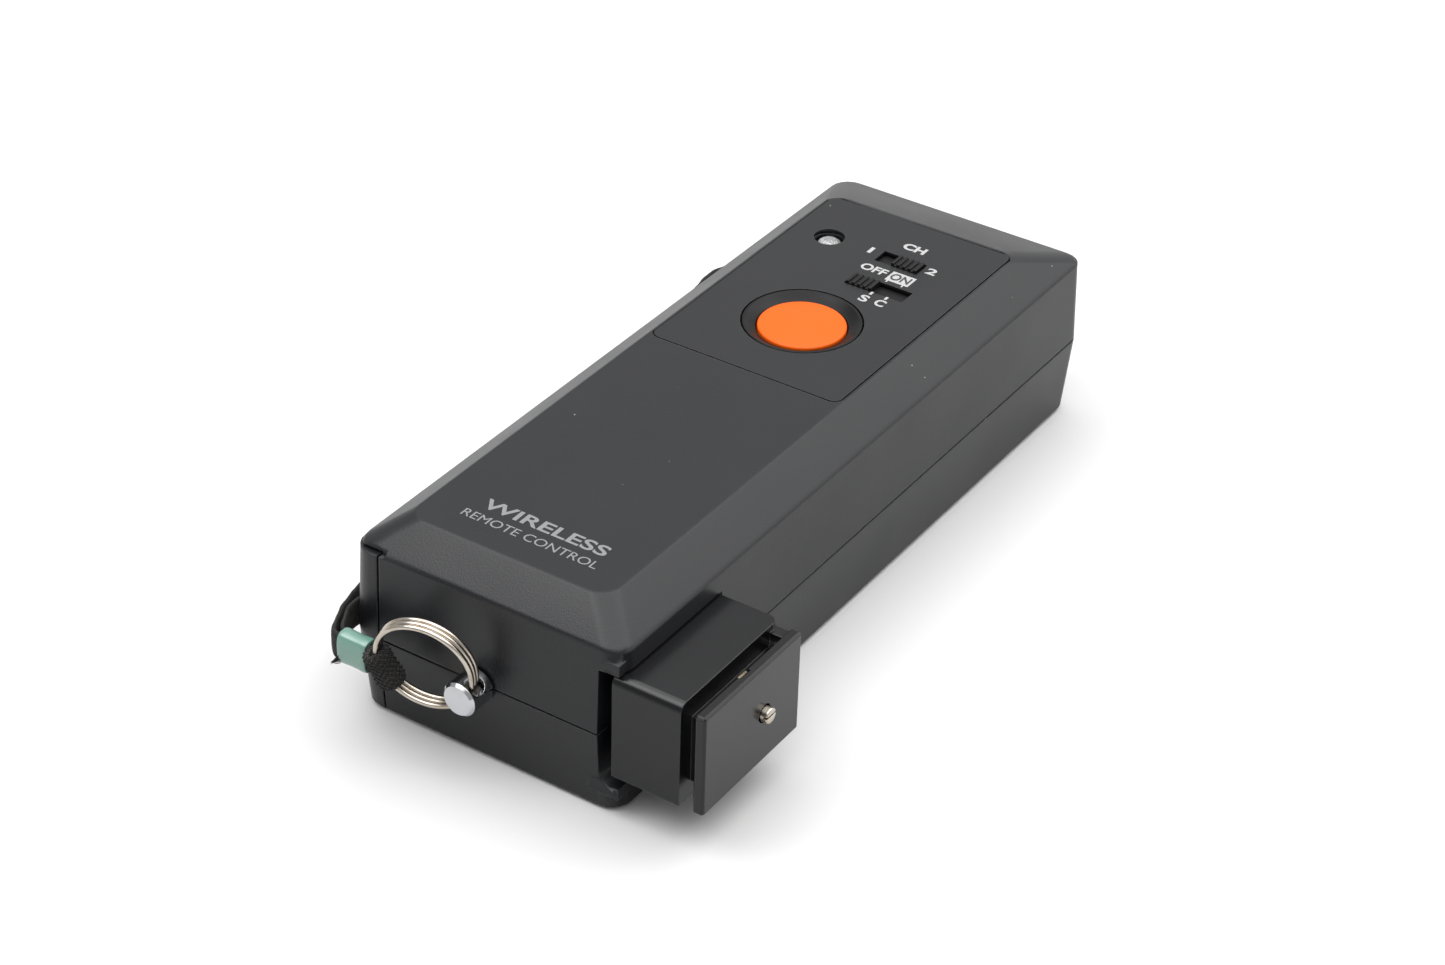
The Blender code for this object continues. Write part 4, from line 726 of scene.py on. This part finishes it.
copies = (
    # node, name, finish, body, slot, edge
    ("upper_shell", "topShell", "case", "case", "case_plastic", 0.0),
    ("lower_shell", "bottomShell", "case", "case", "case_plastic", 0.0),
    ("battery_door", "sideDoor", "case", "door", "case_plastic", 0.0),
    ("control_panel", "topPanel", "panel", "case", "panel_sheet", 0.0),
    ("shoe_block", "shoeBlock", "block", "adapter", "case_plastic", 0.0),
    ("mode_slider", "modeKnob", "knob", "mode_knob", "knob_plastic", 0.00010),
    ("channel_slider", "channelKnob", "knob", "channel_knob", "knob_plastic", 0.00010),
    # earth contact: its dark colour paints the shade of the groove
    ("earth_contact", "earthContact", "grooveShadedMetal", "adapter", "nickel_wire", 0.00004),
)
for node, name, finish, body, slot, edge in copies:
    piece = copyNode(node, name, 32, edge)
    finishPiece(piece, finishes[finish], body, slot, node)
print("copied nodes:", len(copies))


# turned metal: the strap post with its cross hole, and the contact pin with its slot

postSet = {"shank": 0.0015, "radius": 0.0030, "shoulder": 0.0044, "length": 0.0096, "chamfer": 0.0005,
           "hole": 0.00175, "drill": 0.012}
pinSet = {"collar": 0.0019, "collarLength": 0.0008, "radius": 0.00135, "edge": 0.00035, "slot": 0.00045,
          "slotDepth": 0.0008, "slotRise": 0.0002, "slotLength": 0.006}


def cutAway(piece, cutter):
    # takes one closed shape out of another, then removes the cutter
    step = piece.modifiers.new("cut", "BOOLEAN")
    step.operation = "DIFFERENCE"
    step.solver = "EXACT"
    step.object = cutter
    applyAll(piece)
    bpy.data.objects.remove(cutter, do_unlink=True)
    return piece


def makePost(setup):
    low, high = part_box("strap_post")
    base = Vector(((low.x + high.x) / 2, high.y, (low.z + high.z) / 2))
    chamfer, end = setup["chamfer"], setup["length"]
    profile = [(0.0, 0.0), (setup["shank"], 0.0), (setup["shank"], setup["shoulder"]),
               (setup["radius"], setup["shoulder"]), (setup["radius"], end - chamfer),
               (setup["radius"] - chamfer * 0.9, end), (0.0, end)]
    post = spinPiece("strapPost", profile, base, (0, -1, 0), steps=72)
    clearSelection()
    bpy.ops.mesh.primitive_cylinder_add(vertices=56, radius=setup["hole"], depth=setup["drill"])
    drill = bpy.context.object
    turn = Vector((0, 0, 1)).rotation_difference(ringAxis).to_matrix().to_4x4()
    drill.data.transform(Matrix.Translation(postHole) @ turn)
    cutAway(post, drill)
    softenEdges(post, 0.00008, 2, 40)
    smoothPiece(post, 30)
    return finishPiece(post, finishes["chrome"], "case", "chrome", "strap_post")


def makePin(setup):
    low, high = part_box("sync_contact_pin")
    base = Vector((low.x, (low.y + high.y) / 2, (low.z + high.z) / 2))
    end = high.x - low.x
    profile = [(0.0, 0.0), (setup["collar"], 0.0), (setup["collar"], setup["collarLength"]),
               (setup["radius"], setup["collarLength"]), (setup["radius"], end - setup["edge"])]
    for k in range(1, 6):   # the rounded end
        a = math.radians(18 * k)
        profile.append((setup["radius"] - setup["edge"] * (1 - math.cos(a)),
                        end - setup["edge"] * (1 - math.sin(a))))
    profile.append((0.0, end))
    pin = spinPiece("contactPin", profile, base, (1, 0, 0), steps=48)
    clearSelection()
    bpy.ops.mesh.primitive_cube_add(size=1.0)
    slot = bpy.context.object
    slot.data.transform(Matrix.Translation((high.x, base.y, base.z + setup["slotRise"]))
                        @ Matrix.Diagonal((setup["slotDepth"] * 2, setup["slotLength"], setup["slot"], 1)))
    cutAway(pin, slot)
    softenEdges(pin, 0.00003, 2, 40)
    smoothPiece(pin, 30)
    return finishPiece(pin, finishes["brass"], "pin", "nickel_wire", "sync_contact_pin")


makePost(postSet)
makePin(pinSet)
print("post and pin ready")


# release button and its bezel

buttonLow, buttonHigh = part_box("release_button")
bezelLow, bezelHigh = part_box("button_bezel")
buttonMiddle = (buttonLow + buttonHigh) / 2
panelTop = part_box("control_panel")[1].z
buttonSet = {"radius": 0.0077, "rim": -0.0007, "roll": 0.00035, "crown": 0.0005, "stem": 0.0022,
             "stemLength": 0.0016, "flange": 0.0085, "flangeTop": -0.0043}
bezelSet = {"radius": 0.0103, "mouth": 0.0098, "bore": 0.0079, "depth": 0.0040, "land": 0.00125,
            "foot": 0.00108, "lip": 0.00005}


def makeButton(setup):
    radius, rim, roll = setup["radius"], setup["rim"], setup["roll"]
    low = buttonLow.z - panelTop
    flangeLow, flangeTop = low + setup["stemLength"], setup["flangeTop"]
    profile = [(0.0, low), (setup["stem"], low), (setup["stem"], flangeLow), (setup["flange"], flangeLow),
               (setup["flange"], flangeTop), (radius, flangeTop)]
    for k in range(7):   # the rolled rim
        a = math.radians(15 * k)
        profile.append((radius - roll * (1 - math.cos(a)), rim - roll + roll * math.sin(a)))
    edge = radius - roll
    for k in range(1, 15):   # the shallow crown
        r = edge * (1 - k / 14)
        profile.append((r, rim + setup["crown"] * (1 - (r / edge) ** 2)))
    button = spinPiece("releaseButton", profile, (buttonMiddle.x, buttonMiddle.y, panelTop), steps=96)
    return finishPiece(button, finishes["orange"], "button", "button_orange", "release_button")


def makeBezel(setup):
    radius, bore, foot, lip = setup["radius"], setup["bore"], setup["foot"], setup["lip"]
    profile = [(bore, -setup["depth"]), (bore, -setup["land"]), (bore + 2 * lip, -foot)]
    for k in range(9):   # the cone, slightly hollow
        t = k / 8
        r = bore + 2 * lip + (setup["mouth"] - bore - 2 * lip) * t
        profile.append((r, -foot + (foot - lip) * (t ** 1.25)))
    profile += [(setup["mouth"] + 0.00008, 0.0), (radius - 2 * lip, 0.0), (radius, -2 * lip),
                (radius, -setup["depth"]), (bore, -setup["depth"])]
    bezel = spinPiece("buttonBezel", profile, (buttonMiddle.x, buttonMiddle.y, panelTop), steps=96)
    return finishPiece(bezel, finishes["bezel"], "case", "knob_plastic", "button_bezel")


springSet = {"wire": 0.00025, "turns": 3.5, "perTurn": 40, "around": 10, "radius": 0.0058,
             "flatPart": 0.14, "stroke": 0.0012}


def makeButtonSpring(setup):
    # the return spring
    low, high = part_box("button_spring")
    wire, radius, flat = setup["wire"], setup["radius"], setup["flatPart"]
    count = int(setup["turns"] * setup["perTurn"])
    bottom, top = low.z + wire, high.z - wire
    points = []
    for k in range(count + 1):
        t = k / count
        lift = min(1.0, max(0.0, (t - flat) / (1 - 2 * flat)))   # the end turns lie flat
        angle = 2 * math.pi * setup["turns"] * t
        points.append(Vector((buttonMiddle.x + radius * math.cos(angle),
                              buttonMiddle.y + radius * math.sin(angle),
                              bottom + (top - bottom) * lift)))
    rings = []
    for k, point in enumerate(points):
        way = (points[min(k + 1, count)] - points[max(k - 1, 0)]).normalized()
        side = Vector((point.x - buttonMiddle.x, point.y - buttonMiddle.y, 0)).normalized()
        over = way.cross(side)
        rings.append([point + (side * math.cos(a) + over * math.sin(a)) * wire
                      for a in (2 * math.pi * i / setup["around"] for i in range(setup["around"]))])
    spring = skinRings("buttonSpring", rings)
    smoothPiece(spring, 50)
    finishPiece(spring, finishes["steel"], "case", "steel", "button_spring")
    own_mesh(spring)
    return spring


makeButton(buttonSet)
makeBezel(bezelSet)
makeButtonSpring(springSet)


# lamp: a clear dome with the lead frame inside it, and white bands under the dome that paint its highlight

lampLow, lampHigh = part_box("lamp_lens")
lampMiddle = (lampLow + lampHigh) / 2
lampSet = {
    "radius": 0.0025,
    "flange": 0.0028,
    "dome": 0.0020,
    # the arch values size the white bands that paint the lamp's highlight
    "archInner": 0.0009,
    "archOuter": 0.0017,
    "archBelow": 0.00025,
    "cupAside": 0.0005,
    "cup": ((0.0, 0.0060), (0.0006, 0.0060), (0.0013, 0.0068), (0.0014, 0.0068), (0.0014, 0.0056),
            (0.0006, 0.0050), (0.0006, 0.0004), (0.0, 0.0004)),
    # the bands of the painted highlight, not real parts of the lamp
    "highlightArches": ((212, 66), (300, 92)),   # start and sweep in degrees, with a dark notch between them
}


def makeLamp(setup):
    radius = setup["radius"]
    height = lampHigh.z - lampLow.z
    profile = [(0.0, 0.0), (setup["flange"], 0.0), (setup["flange"], 0.001), (radius, 0.001),
               (radius, height - setup["dome"])]
    for k in range(1, 13):
        a = math.radians(7.5 * k)
        profile.append((radius * math.cos(a), height - setup["dome"] + setup["dome"] * math.sin(a)))
    profile[-1] = (0.0, height)
    lamp = spinPiece("lampDome", profile, (lampMiddle.x, lampMiddle.y, lampLow.z), steps=48)
    finishPiece(lamp, finishes["clear"], "case", "clear_lens", "lamp_lens")
    cup = spinPiece("lampCup", setup["cup"], (lampMiddle.x - setup["cupAside"], lampMiddle.y, lampLow.z),
                    steps=24)
    finishPiece(cup, finishes["steel"], "case", "steel")
    # white bands under the dome, a painted highlight
    for number, (start, sweep) in enumerate(setup["highlightArches"], 1):
        makeHighlightArch(f"lampHighlight{number}", start, sweep, setup)


def makeHighlightArch(name, start, sweep, setup):
    # a painted highlight: a white band under the dome that stands in for the arch-shaped highlight on the
    # lamp; it is not a real part of the lamp
    first, inner, outer = math.radians(start), setup["archInner"], setup["archOuter"]
    top = lampHigh.z - setup["archBelow"]
    corners = ((inner, top), (outer, top - 0.0004), (outer, top - 0.0009), (inner, top - 0.0009))
    points = [(lampMiddle.x + r * math.cos(first), lampMiddle.y + r * math.sin(first), z)
              for r, z in corners]
    arch = newPiece(name, points, faces=[(0, 1, 2, 3)])
    bpy.ops.object.mode_set(mode="EDIT")
    bpy.ops.mesh.select_all(action="SELECT")
    bpy.ops.mesh.spin(steps=18, angle=math.radians(sweep), center=(lampMiddle.x, lampMiddle.y, 0),
                      axis=(0, 0, 1))
    bpy.ops.mesh.select_all(action="SELECT")
    bpy.ops.mesh.remove_doubles(threshold=0.000002)
    bpy.ops.mesh.normals_make_consistent(inside=False)
    bpy.ops.object.mode_set(mode="OBJECT")
    softenEdges(arch, 0.00008, 2, 40)
    smoothPiece(arch, 35)
    return finishPiece(arch, finishes["ink"], "case", "clear_lens")


makeLamp(lampSet)
print("controls ready")


# printed words, figures and marks

printSet = {
    "rise": 0.00002,
    "words": (
        # text, x, y, width, height, boldness, ink
        ("WIRELESS", 0.0007, -0.0573, 0.0234, 0.0027, 0.02, "greyInk"),
        ("REMOTE CONTROL", 0.0004, -0.0611, 0.0255, 0.0019, 0.0, "greyInk"),
        ("1", -0.0029, 0.0450, 0.0007, 0.0021, 0.0, "ink"),
        ("CH", 0.0032, 0.0499, 0.0044, 0.0022, 0.04, "ink"),
        ("2", 0.0097, 0.0447, 0.0019, 0.0021, 0.03, "ink"),
        ("OFF", 0.0010, 0.0396, 0.0051, 0.0022, 0.03, "ink"),
        ("ON", 0.0065, 0.0394, 0.0038, 0.0022, 0.02, "darkInk"),
        ("S", 0.0047, 0.0301, 0.0017, 0.0022, 0.03, "ink"),
        ("C", 0.0078, 0.0303, 0.0019, 0.0022, 0.03, "ink"),
    ),
    "marks": (
        # name, x0, x1, y0, y1
        ("tickS", 0.0046, 0.0051, 0.0318, 0.0328),
        ("tickC", 0.0076, 0.0081, 0.0318, 0.0328),
        ("tickOnLeft", 0.0047, 0.0050, 0.0371, 0.0377),
        ("tickOnRight", 0.0078, 0.0081, 0.0371, 0.0377),
        ("plateOn", 0.0042, 0.00885, 0.0377, 0.0410),
    ),
}


def printWord(number, text, x, y, width, height, boldness, ink, rise):
    clearSelection()
    bpy.ops.object.text_add(location=(0, 0, 0))
    word = bpy.context.object
    word.data.body = text
    word.data.offset = boldness
    word.data.align_x = "CENTER"
    word.data.align_y = "CENTER"
    word.data.extrude = 0.01
    word.data.resolution_u = 6
    word.name = f"label{number}"
    makeActive(word)
    bpy.ops.object.convert(target="MESH")
    word = bpy.context.object
    xs = [v.co.x for v in word.data.vertices]
    ys = [v.co.y for v in word.data.vertices]
    middle = Vector(((min(xs) + max(xs)) / 2, (min(ys) + max(ys)) / 2, 0))
    scale = (width / (max(xs) - min(xs)), height / (max(ys) - min(ys)), 0.001, 1)
    word.data.transform(Matrix.Translation((x, y, panelTop + rise)) @ Matrix.Diagonal(scale)
                        @ Matrix.Translation(-middle))
    word.data.name = word.name
    return finishPiece(word, finishes[ink], "case", "panel_sheet")


def printMark(name, x0, x1, y0, y1, top):
    clearSelection()
    size = (x1 - x0, y1 - y0, 0.00002)
    bpy.ops.mesh.primitive_cube_add(size=1.0, location=((x0 + x1) / 2, (y0 + y1) / 2, top - size[2] / 2),
                                    scale=size)
    mark = bpy.context.object
    mark.name = name
    bpy.ops.object.transform_apply(location=True, rotation=False, scale=True)
    softenEdges(mark, min(size[0], size[1]) * 0.12, 2, 80)
    return finishPiece(mark, finishes["ink"], "case", "panel_sheet")


for number, word in enumerate(printSet["words"], 1):
    lift = printSet["rise"] + (0.00003 if word[0] == "ON" else 0.0)
    printWord(number, *word, lift)
for mark in printSet["marks"]:
    printMark(*mark, panelTop + 0.00002)
print("printing ready")


# finishes for the frame's own nodes that stay as they are

nodeFinishes = {
    "steel": ("case_screw", "rail_screw", "button_spring", "post_nut", "battery_spring", "contact_spring",
              "crystal", "mode_switch", "channel_switch"),
    "inner": ("release_switch", "battery_cradle", "shoe_rail", "driver_chip"),
    "brass": ("near_contact", "far_contact"),
    "jacket": ("capacitor",),
    "board": ("circuit_board",),
    "darkRed": ("infrared_emitter", "emitter_window"),
}
for name, node in nodes.items():
    for finish, starts in nodeFinishes.items():
        if name.startswith(starts):
            node.data.materials.clear()
            node.data.materials.append(finishes[finish])
    if name.startswith("battery_") and name[8:].isdigit():
        node.data.materials.clear()
        node.data.materials.append(finishes["jacket"])


# floor and light

stageSet = {
    "floorSize": 6.0,
    "horizonNear": 0.40,   # brightness of the room near the ground, in front and behind
    "horizonFar": 0.84,
    "overhead": 3.7,
    "skyFrom": 0.63,
    "skyTo": 0.85,
    "lights": (
        # name, place, looks at, size, watts
        ("leftSoftbox", (-0.55, -0.50, 1.00), (0, 0, 0), 0.8, 4.5),
        ("rightSoftbox", (0.62, 0.95, 0.90), (0, 0, 0), 1.3, 8.0),
    ),
}


def makeStage(setup):
    clearSelection()
    bpy.ops.mesh.primitive_plane_add(size=setup["floorSize"], location=(0, 0, -0.0001))
    floor = bpy.context.object
    floor.name = "paleFloor"
    bpy.ops.object.transform_apply(location=True, rotation=False, scale=True)
    material, tree, shader = blankMaterial("palePaper")
    texture = placeGroup(tree, grainGroup, Scale=400.0, Patch_Scale=3.0)
    tone = mixColours(tree, texture.outputs["Patches"], (0.50, 0.50, 0.50, 1.0), (0.53, 0.53, 0.53, 1.0))
    tree.links.new(tone, shader.inputs["Base Color"])
    shader.inputs["Roughness"].default_value = 0.9
    shader.inputs["Specular IOR Level"].default_value = 0.1
    floor.data.materials.append(material)
    world = bpy.data.worlds.new("studio")
    bpy.context.scene.world = world
    world.use_nodes = True
    tree = world.node_tree
    background = tree.nodes["Background"]
    place = addNode(tree, "TexCoord")
    split = addNode(tree, "SeparateXYZ", {0: place.outputs["Generated"]})
    low = addNode(tree, "MapRange", {0: split.outputs["Y"], 1: -1.0, 2: 1.0, 3: setup["horizonNear"],
                                     4: setup["horizonFar"]})
    sky = addNode(tree, "MapRange", {0: split.outputs["Z"], 1: setup["skyFrom"], 2: setup["skyTo"],
                                     3: low.outputs[0], 4: setup["overhead"]},
                  interpolation_type="SMOOTHSTEP")
    background.inputs["Color"].default_value = (1.0, 1.0, 1.0, 1.0)
    tree.links.new(sky.outputs[0], background.inputs["Strength"])
    for name, place, target, size, watts in setup["lights"]:
        bpy.ops.object.light_add(type="AREA", location=place)
        light = bpy.context.object
        light.name = name
        light.data.shape = "DISK"
        light.data.size = size
        light.data.energy = watts
        light.rotation_euler = (Vector(target) - Vector(place)).to_track_quat("-Z", "Y").to_euler()


makeStage(stageSet)
print("stage ready")
